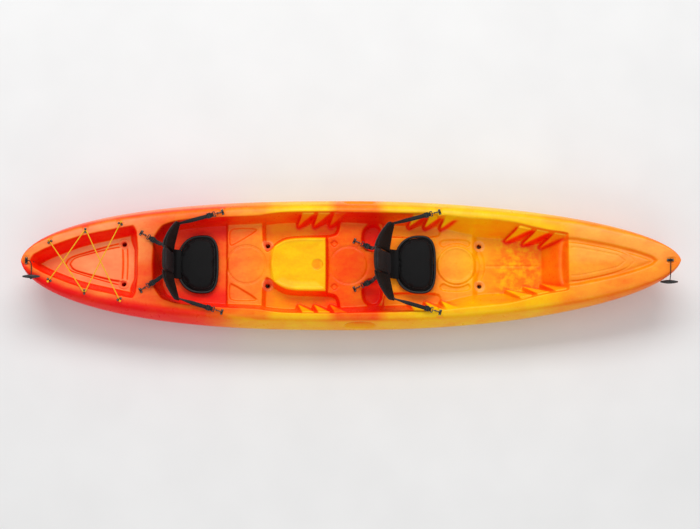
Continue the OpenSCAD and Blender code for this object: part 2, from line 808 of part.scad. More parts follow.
// Carry toggles, each on a cord looped round the bar of a deck eye and led off to starboard
carry_leg_half = 11;
carry_rivet_half = rivet_at(carry_leg_half, wire_r);
carry_plate = plate_at(carry_leg_half, wire_r, 16, 3);
loop_gap = 0.6;
loop_r = wire_r + loop_gap + carry_cord_d / 2;
carry_bar = carry_plate[2] + gap + carry_cord_d / 2 + loop_r;
bow_eye_in = 65;
stern_eye_in = 33;
function carry_spot(x, yaw) = [[x, 0, deck(x) - flat_depth, flat_depth], yaw];
bow_eye = carry_spot(bow_tip - bow_eye_in, -90);
stern_eye = carry_spot(stern_tip + stern_eye_in, 0);
carry_eyes = [bow_eye, stern_eye];
function bar_centre(eye) = [eye[0][0], eye[0][1], eye[0][2] + carry_bar];
function bar_loop(eye) =
    let (c = bar_centre(eye), aim = [cos(eye[1]), sin(eye[1]), 0])
    [for (a = [-165:17:90]) c - loop_r * cos(a) * aim + [0, 0, loop_r * sin(a)]];
// The free run of each cord, from the loop to its stopper knot, counted from the middle of the bar
bow_run = [
    [0, -12, 6], [0, -26, 3], [0, -42, -2], [0, -58, -5], [0, -72, -6], [0, -86, -10], [0, -98, -18],
    [0, -108, -29], [0, -117, -42], [0, -124, -54], [0, -126, -62], [0, -126, -68], [0, -126, -94]
];
stern_run = [
    [12, 0, 6], [22, -3, 2], [29, -12, -3], [32, -26, -6], [33, -42, -6], [33, -58, -5], [33, -72, -2],
    [33, -80, -1], [33, -86, -1], [33, -112, -1]
];
function cord_route(eye, run) = concat(bar_loop(eye), [for (p = run) bar_centre(eye) + p]);
cord_bore_gap = 0.3;
module carry_eye(eye) {
    at_eye(eye) deck_eye(carry_plate, carry_bar, carry_leg_half, wire_r, carry_rivet_half);
}
module bow_carry_eye() {
    color("black") carry_eye(bow_eye);
}
module stern_carry_eye() {
    color("black") carry_eye(stern_eye);
}
module carry_eye_rivets() {
    color("silver") for (eye = carry_eyes) at_eye(eye)
        rivet(carry_rivet_half, wall, carry_plate[2]);
}
module bow_toggle_cord() {
    color("black") tube(cord_route(bow_eye, bow_run), carry_cord_d, forward);
}
module stern_toggle_cord() {
    color("black") tube(cord_route(stern_eye, stern_run), carry_cord_d, slanted);
}
toggle_end_r = 4.5;
module toggle_shape() {
    half = toggle_length / 2;
    profile = concat(
        [[0, -half]],
        [for (k = [-6:6]) [mix(toggle_end_r, toggle_r, cos(k * 15)), half * k / 6]],
        [[0, half]]
    );
    rotate([0, 90, 0]) rotate_extrude() polygon(profile);
}
toggle_knot_r = 7;
knot_back = 12;
module toggle_on(eye, run, turn) {
    end = bar_centre(eye) + run[len(run) - 1];
    translate(end) rotate([turn, 0, 0]) translate([0, 0, knot_back]) difference() {
        toggle_shape();
        translate([0, 0, -2 * toggle_r]) cylinder(r = carry_cord_d / 2 + cord_bore_gap, h = 4 * toggle_r);
    }
}
module knot_on(eye, run, turn) {
    end = bar_centre(eye) + run[len(run) - 1];
    translate(end) rotate([turn, 0, 0]) translate([0, 0, -toggle_knot_r - gap]) sphere(r = toggle_knot_r);
}
hang_down = 0;
lie_flat = -90;
module bow_toggle() {
    color("black") toggle_on(bow_eye, bow_run, hang_down);
}
module bow_toggle_knot() {
    color("black") knot_on(bow_eye, bow_run, hang_down);
}
module stern_toggle() {
    color("black") toggle_on(stern_eye, stern_run, lie_flat);
}
module stern_toggle_knot() {
    color("black") knot_on(stern_eye, stern_run, lie_flat);
}

// Seat pads: a bean outline with a crowned top and drawn-in sides
pad_points = 40;
front_dip = 16;
function pad_outline(share) =
    [for (k = [0:pad_points - 1])
        let (
            a = 360 * k / pad_points,
            c = cos(a),
            s = sin(a),
            x = sign(c) * pow(abs(c), 0.72) * pad_length / 2,
            y = sign(s) * pow(abs(s), 0.8) * pad_width / 2,
            dip = c > 0 ? front_dip * pow(c, 6) : 0
        )
        [x * share - dip, y * share]];
// Rings of a pad, from its underside to its crown: share of the outline, share of the thickness
pad_rings = [
    [0.93, 0], [0.985, 0.16], [1, 0.38], [0.985, 0.58],
    [0.93, 0.74], [0.8, 0.84], [0.5, 0.95], [0.15, 1]
];
module seat_pad(seat) {
    translate([seat[0] + pad_setback + pad_length / 2, 0, seat[1] + gap])
        loft([for (ring = pad_rings) at_height(pad_outline(ring[0]), ring[1] * pad_thick)]);
}

// Seat backs: a stiff middle panel and two wings that sweep forward
function back_ring(y, x, z, height, thick) =
    [for (k = [0:15])
        let (a = 360 * k / 16, c = cos(a), s = sin(a))
        [
            x - thick / 2 + sign(c) * pow(abs(c), 0.6) * thick / 2,
            y,
            z - sign(s) * pow(abs(s), 0.6) * height / 2
        ]];
panel_foot = 8;
// Share of the half width, then share of the height and thickness there
panel_round = [[-1, 0.8], [-0.94, 0.92], [-0.8, 0.98], [0, 1], [0.8, 0.98], [0.94, 0.92], [1, 0.8]];
module back_panel() {
    high = back_height - panel_foot;
    loft([for (p = panel_round)
        let (y = p[0] * back_width / 2, mid_z = panel_foot + high / 2)
        back_ring(y, -back_setback, mid_z, high * p[1], back_thick * p[1])]);
}
wing_root_height = 220;
wing_root_z = 165;
wing_steps = 8;
wing_shut = 0.8;
module back_wing() {
    root = back_width / 2 + gap;
    loft([for (i = [0:wing_steps])
        let (t = i / wing_steps, shut = i == 0 || i == wing_steps ? wing_shut : 1)
        back_ring(
            mix(root, wing_span / 2, t),
            mix(-back_setback, wing_sweep, pow(t, 1.7)),
            mix(wing_root_z, wing_tip_z, pow(t, 1.4)),
            shut * mix(wing_root_height, wing_tip_height, pow(t, 1.2)),
            shut * mix(wing_root_thick, wing_tip_thick, t)
        )]);
}
module on_hinge(seat) {
    translate([seat[0], 0, hinge_z(seat)]) rotate([0, -seat[2], 0]) children();
}

// Snap hooks: a hooked wire, a sprung gate on its back, and a bar for the webbing
hook_low = plate[2] + wire_r + gap;
hook_mid = hook_low + hook_r;
hook_high = hook_low + 2 * hook_r;
// The hook is pulled back until its nose is against the bar of the eye
nose_reach = hook_r - 2 * wire_r - gap;
nose_u = -sqrt(nose_reach * nose_reach - (hook_mid - eye_bar) * (hook_mid - eye_bar));
hook_back = nose_u - 29;
ring_u = hook_back - 16;
ring_deep = 10;
module wire(from, to, r) {
    along_v = to - from;
    translate(from) rotate([0, acos(along_v[2] / norm(along_v)), atan2(along_v[1], along_v[0])])
        cylinder(r = r, h = norm(along_v));
}
gate_r = 2;
gate_gap = 0.3;
gate_nose_gap = 0.6;
gate_eye = [3, 4.8];
post_r = wire_r + 1.6;
post_top = 4;
slot_size = [20, gate_eye[1] + 2 * gate_gap, 2 * post_top + 1];
pin_r = 1.2;
pin_ease = 0.05;
pin_length = 2 * post_r;
ring_ease = 3;
module hook_body() {
    wire([hook_back, 0, hook_low], [nose_u, 0, hook_low], wire_r);
    translate([nose_u, 0, hook_mid]) rotate([90, 0, 0]) rotate_extrude(angle = 180, start = -90)
        translate([hook_r, 0]) circle(r = wire_r);
    difference() {
        wire([hook_back, 0, hook_low - wire_r], [hook_back, 0, hook_high + post_top], post_r);
        translate([hook_back, 0, hook_high]) cube(slot_size, center = true);
    }
    translate([hook_back, 0, hook_high]) rotate([90, 0, 0])
        cylinder(r = pin_r, h = pin_length, center = true);
    wire([ring_u, 0, hook_mid], [hook_back, 0, hook_mid], wire_r);
    bar_half = strap_width / 2 + ring_ease;
    for (u = [ring_u, ring_u - ring_deep])
        wire([u, -bar_half, hook_mid], [u, bar_half, hook_mid], wire_r);
    for (v = [-1, 1])
        wire([ring_u - ring_deep, v * bar_half, hook_mid], [ring_u, v * bar_half, hook_mid], wire_r);
    for (u = [ring_u, ring_u - ring_deep], v = [-1, 1])
        translate([u, v * bar_half, hook_mid]) sphere(r = wire_r);
}
module hook_gate() {
    difference() {
        union() {
            wire([hook_back, 0, hook_high], [nose_u - gate_nose_gap, 0, hook_high], gate_r);
            translate([hook_back, 0, hook_high]) rotate([90, 0, 0])
                cylinder(r = gate_eye[0], h = gate_eye[1], center = true);
        }
        translate([hook_back, 0, hook_high]) rotate([90, 0, 0])
            cylinder(r = pin_r + pin_ease, h = 2 * pin_length, center = true);
    }
}

// Webbing from a snap hook's bar to where it is sewn on, flat side up
strap_end_u = ring_u - ring_deep - wire_r - gap;
function eye_point(eye, u, w) = [
    eye[0][0] + u * cos(eye[1]),
    eye[0][1] + u * sin(eye[1]),
    eye[0][2] + w
];
function strap_ring(route, i) =
    let (
        last = len(route) - 1,
        t = unit(route[min(i + 1, last)] - route[max(i - 1, 0)]),
        s = unit(cross(t, up)) * strap_width / 2,
        n = cross(unit(s), t) * strap_thick / 2
    )
    [route[i] + s - n, route[i] - s - n, route[i] - s + n, route[i] + s + n];
buckle_from = 12;
buckle_length = 26;
buckle_side = 4;
buckle_wall = 2;
buckle_ease = 0.5;
window = 6;
strap_run = 56;
strap_sag = 4;
function strap_route(eye, sewn) =
    let (a = eye_point(eye, strap_end_u, hook_mid), b = eye_point(eye, strap_end_u - strap_run, hook_mid))
    [a, b, mix(b, sewn, 0.5) - [0, 0, strap_sag], sewn];
module strap(eye, sewn) {
    route = strap_route(eye, sewn);
    loft([for (i = [0:len(route) - 1]) strap_ring(route, i)]);
}
module buckle() {
    slot = [buckle_length + 2 * cut, strap_width + 2 * buckle_ease, strap_thick + 2 * buckle_ease];
    high = slot[2] + 2 * buckle_wall;
    translate([strap_end_u - buckle_from - buckle_length / 2, 0, hook_mid]) difference() {
        cube([buckle_length, slot[1] + 2 * buckle_side, high], center = true);
        cube(slot, center = true);
        for (u = [-1, 1])
            translate([u * buckle_length / 4, 0, high / 2]) cube([window, slot[1], high], center = true);
    }
}
module seat_strap(seat, eye, anchor) {
    color("black") strap(eye, leaned(seat, anchor));
}
module seat_buckles(pair) {
    color("dimgray") for (eye = pair, side = [0, 1]) mirror([0, side, 0]) at_eye(eye) buckle();
}
module seat_hooks(pair) {
    color("gray") for (eye = pair, side = [0, 1]) mirror([0, side, 0]) at_eye(eye) hook_body();
}
module gate_on(eye) {
    color("silver") at_eye(eye) hook_gate();
}
module starboard() {
    mirror([0, 1, 0]) children();
}

// The rear seat
rear_pair = [eyes[0], eyes[1]];
module rear_seat_pad() { color("black") seat_pad(rear_seat); }
module rear_seat_back() { color("black") on_hinge(rear_seat) back_panel(); }
module rear_seat_wing_port() { color("black") on_hinge(rear_seat) back_wing(); }
module rear_seat_wing_starboard() { color("black") on_hinge(rear_seat) starboard() back_wing(); }
module rear_seat_aft_strap_port() { seat_strap(rear_seat, eyes[0], aft_anchor); }
module rear_seat_aft_strap_starboard() { starboard() seat_strap(rear_seat, eyes[0], aft_anchor); }
module rear_seat_side_strap_port() { seat_strap(rear_seat, eyes[1], tip_anchor); }
module rear_seat_side_strap_starboard() { starboard() seat_strap(rear_seat, eyes[1], tip_anchor); }
module rear_seat_buckles() { seat_buckles(rear_pair); }
module rear_seat_hooks() { seat_hooks(rear_pair); }
module rear_seat_aft_gate_port() { gate_on(eyes[0]); }
module rear_seat_aft_gate_starboard() { starboard() gate_on(eyes[0]); }
module rear_seat_side_gate_port() { gate_on(eyes[1]); }
module rear_seat_side_gate_starboard() { starboard() gate_on(eyes[1]); }

// The front seat
front_pair = [eyes[2], eyes[3]];
module front_seat_pad() { color("black") seat_pad(front_seat); }
module front_seat_back() { color("black") on_hinge(front_seat) back_panel(); }
module front_seat_wing_port() { color("black") on_hinge(front_seat) back_wing(); }
module front_seat_wing_starboard() { color("black") on_hinge(front_seat) starboard() back_wing(); }
module front_seat_aft_strap_port() { seat_strap(front_seat, eyes[2], aft_anchor); }
module front_seat_aft_strap_starboard() { starboard() seat_strap(front_seat, eyes[2], aft_anchor); }
module front_seat_side_strap_port() { seat_strap(front_seat, eyes[3], tip_anchor); }
module front_seat_side_strap_starboard() { starboard() seat_strap(front_seat, eyes[3], tip_anchor); }
module front_seat_buckles() { seat_buckles(front_pair); }
module front_seat_hooks() { seat_hooks(front_pair); }
module front_seat_aft_gate_port() { gate_on(eyes[2]); }
module front_seat_aft_gate_starboard() { starboard() gate_on(eyes[2]); }
module front_seat_side_gate_port() { gate_on(eyes[3]); }
module front_seat_side_gate_starboard() { starboard() gate_on(eyes[3]); }

hull();
drain_socket();
drain_gasket();
drain_plug();
strap_pad_eyes();
pad_eye_rivets();
bungee_port();
bungee_starboard();
bungee_eyes();
bungee_eye_rivets();
bungee_knots();
bow_carry_eye();
stern_carry_eye();
carry_eye_rivets();
bow_toggle_cord();
bow_toggle();
bow_toggle_knot();
stern_toggle_cord();
stern_toggle();
stern_toggle_knot();
rear_seat_pad();
rear_seat_back();
rear_seat_wing_port();
rear_seat_wing_starboard();
rear_seat_aft_strap_port();
rear_seat_aft_strap_starboard();
rear_seat_side_strap_port();
rear_seat_side_strap_starboard();
rear_seat_buckles();
rear_seat_hooks();
rear_seat_aft_gate_port();
rear_seat_aft_gate_starboard();
rear_seat_side_gate_port();
rear_seat_side_gate_starboard();
front_seat_pad();
front_seat_back();
front_seat_wing_port();
front_seat_wing_starboard();
front_seat_aft_strap_port();
front_seat_aft_strap_starboard();
front_seat_side_strap_port();
front_seat_side_strap_starboard();
front_seat_buckles();
front_seat_hooks();
front_seat_aft_gate_port();
front_seat_aft_gate_starboard();
front_seat_side_gate_port();
front_seat_side_gate_starboard();
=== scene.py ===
"""The looks of a tandem sit-on-top kayak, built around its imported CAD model."""

import math

import bmesh
import bpy
import numpy as np
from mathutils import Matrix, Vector
from mathutils.bvhtree import BVHTree


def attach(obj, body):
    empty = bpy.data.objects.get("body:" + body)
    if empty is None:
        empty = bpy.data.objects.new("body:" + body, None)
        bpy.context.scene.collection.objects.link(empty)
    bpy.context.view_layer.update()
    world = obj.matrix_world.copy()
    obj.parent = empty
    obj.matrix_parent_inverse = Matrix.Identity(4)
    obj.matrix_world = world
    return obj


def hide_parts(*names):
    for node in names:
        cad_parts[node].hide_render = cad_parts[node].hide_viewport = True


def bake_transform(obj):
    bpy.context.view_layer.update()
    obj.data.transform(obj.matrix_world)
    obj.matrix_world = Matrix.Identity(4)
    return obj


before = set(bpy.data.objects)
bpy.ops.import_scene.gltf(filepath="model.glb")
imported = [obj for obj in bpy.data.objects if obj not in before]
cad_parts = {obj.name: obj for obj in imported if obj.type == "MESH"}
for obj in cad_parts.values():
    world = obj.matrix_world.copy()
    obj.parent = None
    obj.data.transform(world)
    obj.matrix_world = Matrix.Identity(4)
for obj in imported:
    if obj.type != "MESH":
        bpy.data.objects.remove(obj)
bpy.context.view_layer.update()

MM = 0.001
SIDES = {"port": 1, "starboard": -1}

# Camera: nearly straight down, tipped a little towards the starboard side
ELEVATION = 81.5
DISTANCE = 14.0
LENS = 115.6
LOOK_AT = (-0.004, -0.0157, 0.29)


def mix(a, b, t):
    return a + (b - a) * t


def smooth_step(low, high, value):
    t = np.clip((value - low) / (high - low), 0, 1)
    return t * t * (3 - 2 * t)


def smooth_max(a, b, k):
    share = np.clip(0.5 + 0.5 * (a - b) / k, 0, 1)
    return mix(b, a, share) + k * share * (1 - share)


def smooth_min(a, b, k):
    return -smooth_max(-a, -b, k)


def hump(value, half):
    """A smooth hill: 1 where the value is 0, and close to 0 past twice the half width."""
    return np.exp(-((value / half) ** 2))


def signed_power(value, power):
    return np.sign(value) * np.abs(value) ** power


def full_turn(count):
    return np.linspace(0, 2 * math.pi, count, endpoint=False)


def make_camera():
    camera = bpy.data.objects.new("camera", bpy.data.cameras.new("camera"))
    bpy.context.collection.objects.link(camera)
    camera.data.lens = LENS
    tilt = math.radians(ELEVATION)
    camera.location = Vector(LOOK_AT) + DISTANCE * Vector((0, -math.cos(tilt), math.sin(tilt)))
    camera.rotation_euler = (math.radians(90 - ELEVATION), 0, 0)
    bpy.context.scene.camera = camera


make_camera()
bpy.context.scene.view_settings.view_transform = "Standard"


# Materials

class Shader:
    """A Principled material with short ways to add the nodes that it needs."""

    def __init__(self, name, **sockets):
        self.material = bpy.data.materials.new(name)
        self.material.use_nodes = True
        self.nodes = self.material.node_tree.nodes
        self.links = self.material.node_tree.links
        self.surface = self.nodes["Principled BSDF"]
        for socket, value in sockets.items():
            self.surface.inputs[socket.replace("_", " ")].default_value = value

    def node(self, kind, **settings):
        made = self.nodes.new(kind)
        for key, value in settings.items():
            setattr(made, key, value)
        return made

    def link(self, value, socket):
        if isinstance(value, bpy.types.NodeSocket):
            self.links.new(value, socket)
        else:
            socket.default_value = value

    def place(self):
        return self.node("ShaderNodeTexCoord").outputs["Object"]

    def attribute(self, name, output="Fac"):
        return self.node("ShaderNodeAttribute", attribute_name=name).outputs[output]

    def split(self, vector):
        made = self.node("ShaderNodeSeparateXYZ")
        self.links.new(vector, made.inputs[0])
        return made.outputs

    def math(self, operation, a, b=0.0):
        made = self.node("ShaderNodeMath", operation=operation)
        self.link(a, made.inputs[0])
        self.link(b, made.inputs[1])
        return made.outputs[0]

    def add(self, first, *others):
        for other in others:
            first = self.math("ADD", first, other)
        return first

    def times(self, a, b):
        return self.math("MULTIPLY", a, b)

    def wave(self, value, length):
        """A sine of the value with the given wavelength, from -1 to 1."""
        return self.math("SINE", self.times(value, 2 * math.pi / length))

    def noise(self, scale, detail=3.0, roughness=0.55, stretch=None):
        made = self.node("ShaderNodeTexNoise")
        made.inputs["Scale"].default_value = scale
        made.inputs["Detail"].default_value = detail
        made.inputs["Roughness"].default_value = roughness
        at = self.place()
        if stretch:
            mapping = self.node("ShaderNodeMapping")
            mapping.inputs["Scale"].default_value = stretch
            self.links.new(at, mapping.inputs["Vector"])
            at = mapping.outputs["Vector"]
        self.links.new(at, made.inputs["Vector"])
        return made.outputs["Fac"]

    def fit(self, value, from_low, from_high, to_low, to_high):
        made = self.node("ShaderNodeMapRange")
        for socket, amount in zip(made.inputs, (value, from_low, from_high, to_low, to_high)):
            self.link(amount, socket)
        return made.outputs[0]

    def ramp(self, value, stops):
        made = self.node("ShaderNodeValToRGB")
        points = made.color_ramp.elements
        while len(points) < len(stops):
            points.new(0.5)
        for point, (at, colour) in zip(points, stops):
            point.position = at
            point.color = (*colour, 1)
        self.link(value, made.inputs["Fac"])
        return made.outputs["Color"]

    def blend(self, share, a, b):
        made = self.node("ShaderNodeMix", data_type="RGBA")
        self.link(share, made.inputs["Factor"])
        for colour, socket in ((a, made.inputs[6]), (b, made.inputs[7])):
            self.link(colour if isinstance(colour, bpy.types.NodeSocket) else (*colour, 1), socket)
        return made.outputs[2]

    def bump(self, height, strength, distance):
        made = self.node("ShaderNodeBump")
        made.inputs["Strength"].default_value = strength
        made.inputs["Distance"].default_value = distance
        self.links.new(height, made.inputs["Height"])
        self.links.new(made.outputs["Normal"], self.surface.inputs["Normal"])

    def colour(self, value):
        self.links.new(value, self.surface.inputs["Base Color"])

    def roughness(self, value):
        self.links.new(value, self.surface.inputs["Roughness"])


# Pigments of the hull from red to yellow, and the pale peach of the painted sheen on its flats
PIGMENTS = [
    (0.0, (0.92, 0.001, 0.001)),
    (0.2, (0.96, 0.036, 0.001)),
    (0.4, (0.98, 0.135, 0.002)),
    (0.6, (0.98, 0.275, 0.003)),
    (0.8, (0.98, 0.45, 0.002)),
    (1.0, (0.97, 0.64, 0.001)),
]
PAINTED_SHEEN_COLOUR = (0.98, 0.46, 0.21)


def hull_plastic():
    """Moulded plastic whose red, orange and yellow run into each other."""
    made = Shader("moulded_hull_look", Specular_IOR_Level=0.16)
    clouds = made.noise(9, 4, 0.6, stretch=(0.7, 1.3, 1))
    specks = made.noise(70, 3, 0.6)
    patches = made.fit(made.noise(21, 5, 0.7), 0.42, 0.58, 0.5, -0.5)
    tone = made.add(
        made.attribute("tone"),
        made.fit(clouds, 0.25, 0.75, -0.12, 0.12),
        made.fit(specks, 0.3, 0.7, -0.03, 0.03),
        made.times(patches, made.attribute("mottle")),
    )
    # Painted sheen: a painted highlight that turns upward flats pale peach, varied by the clouds
    painted_sheen = made.times(made.attribute("painted_sheen"), made.fit(clouds, 0.3, 0.7, 0.75, 1.2))
    made.colour(made.blend(painted_sheen, made.ramp(tone, PIGMENTS), PAINTED_SHEEN_COLOUR))
    made.roughness(made.fit(made.noise(35, 4), 0.3, 0.7, 0.26, 0.36))
    made.bump(made.noise(700, 2), 0.12, 0.0006)
    return made.material


BRAID_TURNS = 6


def braided(name, dark, light, pitch, girth, rough):
    """A cord's braid: strands that cross both ways round it."""
    made = Shader(name, Specular_IOR_Level=0.3)
    lay = made.split(made.attribute("weave", "Vector"))
    run = made.times(lay[0], 1 / pitch)
    round_it = made.times(lay[1], BRAID_TURNS / girth)
    one = made.wave(made.add(run, round_it), 1)
    other = made.wave(made.math("SUBTRACT", run, round_it), 1)
    strands = made.math("MAXIMUM", one, other)
    worn = made.noise(60, 3)
    faded = made.blend(made.fit(worn, 0.3, 0.7, 0, 0.5), light, dark)
    made.colour(made.blend(made.fit(strands, -0.6, 1, 0, 1), dark, faded))
    made.roughness(made.fit(worn, 0.3, 0.7, rough - 0.08, rough + 0.08))
    made.bump(strands, 0.5, 0.0006)
    return made.material


RIB_PITCH = 2.2
PICK_PITCH = 1.4
WEBBING_COLOURS = [(0, (0.004, 0.004, 0.005)), (0.6, (0.014, 0.014, 0.015)), (1, (0.03, 0.028, 0.027))]


def webbing_look():
    """Flat black webbing: ribs along it, picks across it, and faint dust."""
    made = Shader("webbing_look", Specular_IOR_Level=0.25, Sheen_Weight=0.15)
    lay = made.split(made.attribute("weave", "Vector"))
    ribs = made.wave(lay[1], RIB_PITCH)
    picks = made.wave(made.add(lay[0], made.times(ribs, 0.25)), PICK_PITCH)
    cloth = made.times(made.add(ribs, 1.2), made.add(picks, 1.6))
    dust = made.noise(45, 4)
    shade = made.add(made.fit(cloth, 0, 5, 0, 0.7), made.fit(dust, 0.35, 0.75, -0.1, 0.3))
    made.colour(made.ramp(shade, WEBBING_COLOURS))
    made.roughness(made.fit(dust, 0.3, 0.7, 0.55, 0.75))
    made.bump(cloth, 0.35, 0.0005)
    return made.material


CLOTH_PITCH = 1.6


def fabric_look(name, dark, light, lies_flat):
    """Woven nylon over foam: fine threads both ways, with faint dust and rubbed places."""
    made = Shader(name, Specular_IOR_Level=0.14)
    place = made.split(made.place())
    warp = made.wave(made.times(place[1], 1 / MM), CLOTH_PITCH)
    weft = made.wave(made.times(place[0 if lies_flat else 2], 1 / MM), CLOTH_PITCH)
    cloth = made.times(warp, weft)
    rubbed = made.noise(14, 5, 0.6)
    fuzz = made.noise(260, 3, 0.7)
    shade = made.add(
        made.fit(cloth, -1, 1, 0.2, 0.5),
        made.fit(rubbed, 0.35, 0.7, -0.1, 0.35),
        made.fit(fuzz, 0.3, 0.7, -0.08, 0.08),
    )
    made.colour(made.ramp(shade, [(0.1, dark), (0.9, light)]))
    made.roughness(made.fit(rubbed, 0.3, 0.7, 0.5, 0.68))
    made.bump(made.add(cloth, made.times(fuzz, 0.8)), 0.3, 0.0006)
    return made.material


def plastic_look(name, dark, light, rough):
    """Moulded fittings: fine grain and soft blotches."""
    made = Shader(name, Specular_IOR_Level=0.45)
    made.colour(made.ramp(made.noise(40, 4), [(0.3, dark), (0.75, light)]))
    made.roughness(made.fit(made.noise(180, 3), 0.3, 0.7, rough - 0.08, rough + 0.1))
    made.bump(made.noise(1400, 2), 0.15, 0.0003)
    return made.material


def metal_look(name, dark, light, rough):
    """Metal fittings: dull spots and fine drawn scratches."""
    made = Shader(name, Metallic=1.0)
    scratch = made.noise(60, 5, 0.7, stretch=(1, 14, 14))
    made.colour(made.ramp(made.noise(120, 4, 0.6), [(0.3, dark), (0.7, light)]))
    made.roughness(made.fit(scratch, 0.3, 0.7, rough - 0.1, rough + 0.12))
    made.bump(scratch, 0.12, 0.0002)
    return made.material


HULL_LOOK = hull_plastic()
BUNGEE_LOOK = braided("bungee_look", (0.80, 0.34, 0.003), (1.0, 0.60, 0.012), 4.5, 22, 0.5)
CORD_LOOK = braided("carry_cord_look", (0.004, 0.004, 0.004), (0.03, 0.03, 0.032), 4.0, 19, 0.6)
WEBBING_LOOK = webbing_look()
PAD_LOOK = fabric_look("seat_pad_look", (0.0015, 0.0015, 0.0018), (0.007, 0.007, 0.0075), True)
BACK_LOOK = fabric_look("seat_back_look", (0.010, 0.010, 0.011), (0.034, 0.034, 0.037), False)
WING_LOOK = fabric_look("seat_wing_look", (0.004, 0.0035, 0.0034), (0.018, 0.0155, 0.015), False)
PIPING_LOOK = plastic_look("piping_look", (0.002, 0.002, 0.002), (0.008, 0.008, 0.0085), 0.5)
BLACK_LOOK = plastic_look("black_plastic_look", (0.006, 0.006, 0.006), (0.022, 0.021, 0.02), 0.4)
TOGGLE_LOOK = plastic_look("toggle_plastic_look", (0.010, 0.010, 0.011), (0.035, 0.035, 0.037), 0.45)
RUBBER_LOOK = plastic_look("rubber_look", (0.008, 0.008, 0.008), (0.03, 0.03, 0.03), 0.7)
RIVET_LOOK = metal_look("rivet_look", (0.20, 0.19, 0.18), (0.40, 0.39, 0.38), 0.38)
HOOK_LOOK = metal_look("hook_steel_look", (0.035, 0.033, 0.032), (0.13, 0.125, 0.12), 0.3)
THREAD_LOOK = plastic_look("thread_look", (0.03, 0.03, 0.03), (0.09, 0.09, 0.09), 0.6)


# Meshes

def mesh_object(name, points, faces, look=None):
    mesh = bpy.data.meshes.new(name)
    mesh.from_pydata((np.asarray(points) * MM).tolist(), [], faces)
    mesh.validate()
    mesh.shade_smooth()
    if look:
        mesh.materials.append(look)
    made = bpy.data.objects.new(name, mesh)
    bpy.context.collection.objects.link(made)
    return made


def grid_faces(rows, columns):
    """Quads between rows of points, closed round each row."""
    a = np.arange(rows - 1)[:, None] * columns
    j = np.arange(columns)[None]
    k = (j + 1) % columns
    return np.stack([a + j, a + k, a + columns + k, a + columns + j], 2).reshape(-1, 4).tolist()


def stacked(rings):
    """A closed form from rings of points, with its first and last ring filled."""
    rows, count, _ = np.shape(rings)
    faces = grid_faces(rows, count)
    faces.append(list(range(count))[::-1])
    faces.append(list(range((rows - 1) * count, rows * count)))
    return np.reshape(rings, (-1, 3)), faces


def places(mesh):
    """The mesh's points, in millimetres."""
    found = np.empty(len(mesh.vertices) * 3)
    mesh.vertices.foreach_get("co", found)
    return found.reshape(-1, 3) / MM


def move_to(mesh, points):
    mesh.vertices.foreach_set("co", (points * MM).ravel())
    mesh.update()


def face_out(mesh):
    bm = bmesh.new()
    bm.from_mesh(mesh)
    bmesh.ops.recalc_face_normals(bm, faces=bm.faces)
    bm.to_mesh(mesh)
    bm.free()


def keep(piece, body, slot, *nodes):
    """Fixes a piece to its body and hides the CAD nodes that it stands for; the slot is not used."""
    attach(piece, body)
    if nodes:
        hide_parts(*nodes)
    return piece


# Paths and tubes: cords, bungees and piping

def run_along(path):
    """How far along the path each of its points lies."""
    return np.concatenate([[0], np.cumsum(np.linalg.norm(np.diff(path, axis=0), axis=1))])


def evenly(points, step):
    run = run_along(points)
    stops = np.linspace(0, run[-1], max(3, int(round(run[-1] / step)) + 1))
    return np.stack([np.interp(stops, run, points[:, i]) for i in range(3)], 1)


def smooth_path(points, step):
    """Points evenly spaced along a Catmull-Rom curve through the given ones."""
    points = np.array(points, float)
    padded = np.vstack([2 * points[0] - points[1], points, 2 * points[-1] - points[-2]])
    fine = []
    for a, b, c, d in zip(padded, padded[1:], padded[2:], padded[3:]):
        for t in np.linspace(0, 1, 12, endpoint=False):
            square = (2 * a - 5 * b + 4 * c - d) * t ** 2
            cube = (3 * b - a - 3 * c + d) * t ** 3
            fine.append(0.5 * (2 * b + (c - a) * t + square + cube))
    return evenly(np.array(fine + [points[-1]]), step)


def softened(points, step, times):
    """A path through the points with its corners eased."""
    path = evenly(np.array(points, float), step)
    for _ in range(times):
        path[1:-1] = (path[:-2] + 2 * path[1:-1] + path[2:]) / 4
    return path


def directions(path, closed=False):
    ahead = np.roll(path, -1, 0) - np.roll(path, 1, 0)
    if not closed:
        ahead[0] = path[1] - path[0]
        ahead[-1] = path[-1] - path[-2]
    return ahead / np.linalg.norm(ahead, axis=1)[:, None]


def carried_frames(path, closed):
    """Two cross directions at each point, carried along the path without twist."""
    ahead = directions(path, closed)
    side = np.cross(ahead[0], (0, 0, 1) if abs(ahead[0][2]) < 0.9 else (1, 0, 0))
    firsts = []
    for way in ahead:
        side = side - way * np.dot(side, way)
        side = side / np.linalg.norm(side)
        firsts.append(side)
    firsts = np.array(firsts)
    return firsts, np.cross(ahead, firsts)


def write_weave(mesh, values):
    """Keeps a place along and across the lay on each face corner, in millimetres, for the weave."""
    data = mesh.attributes.new("weave", "FLOAT_VECTOR", "CORNER").data
    data.foreach_set("vector", np.asarray(values, np.float32).ravel())


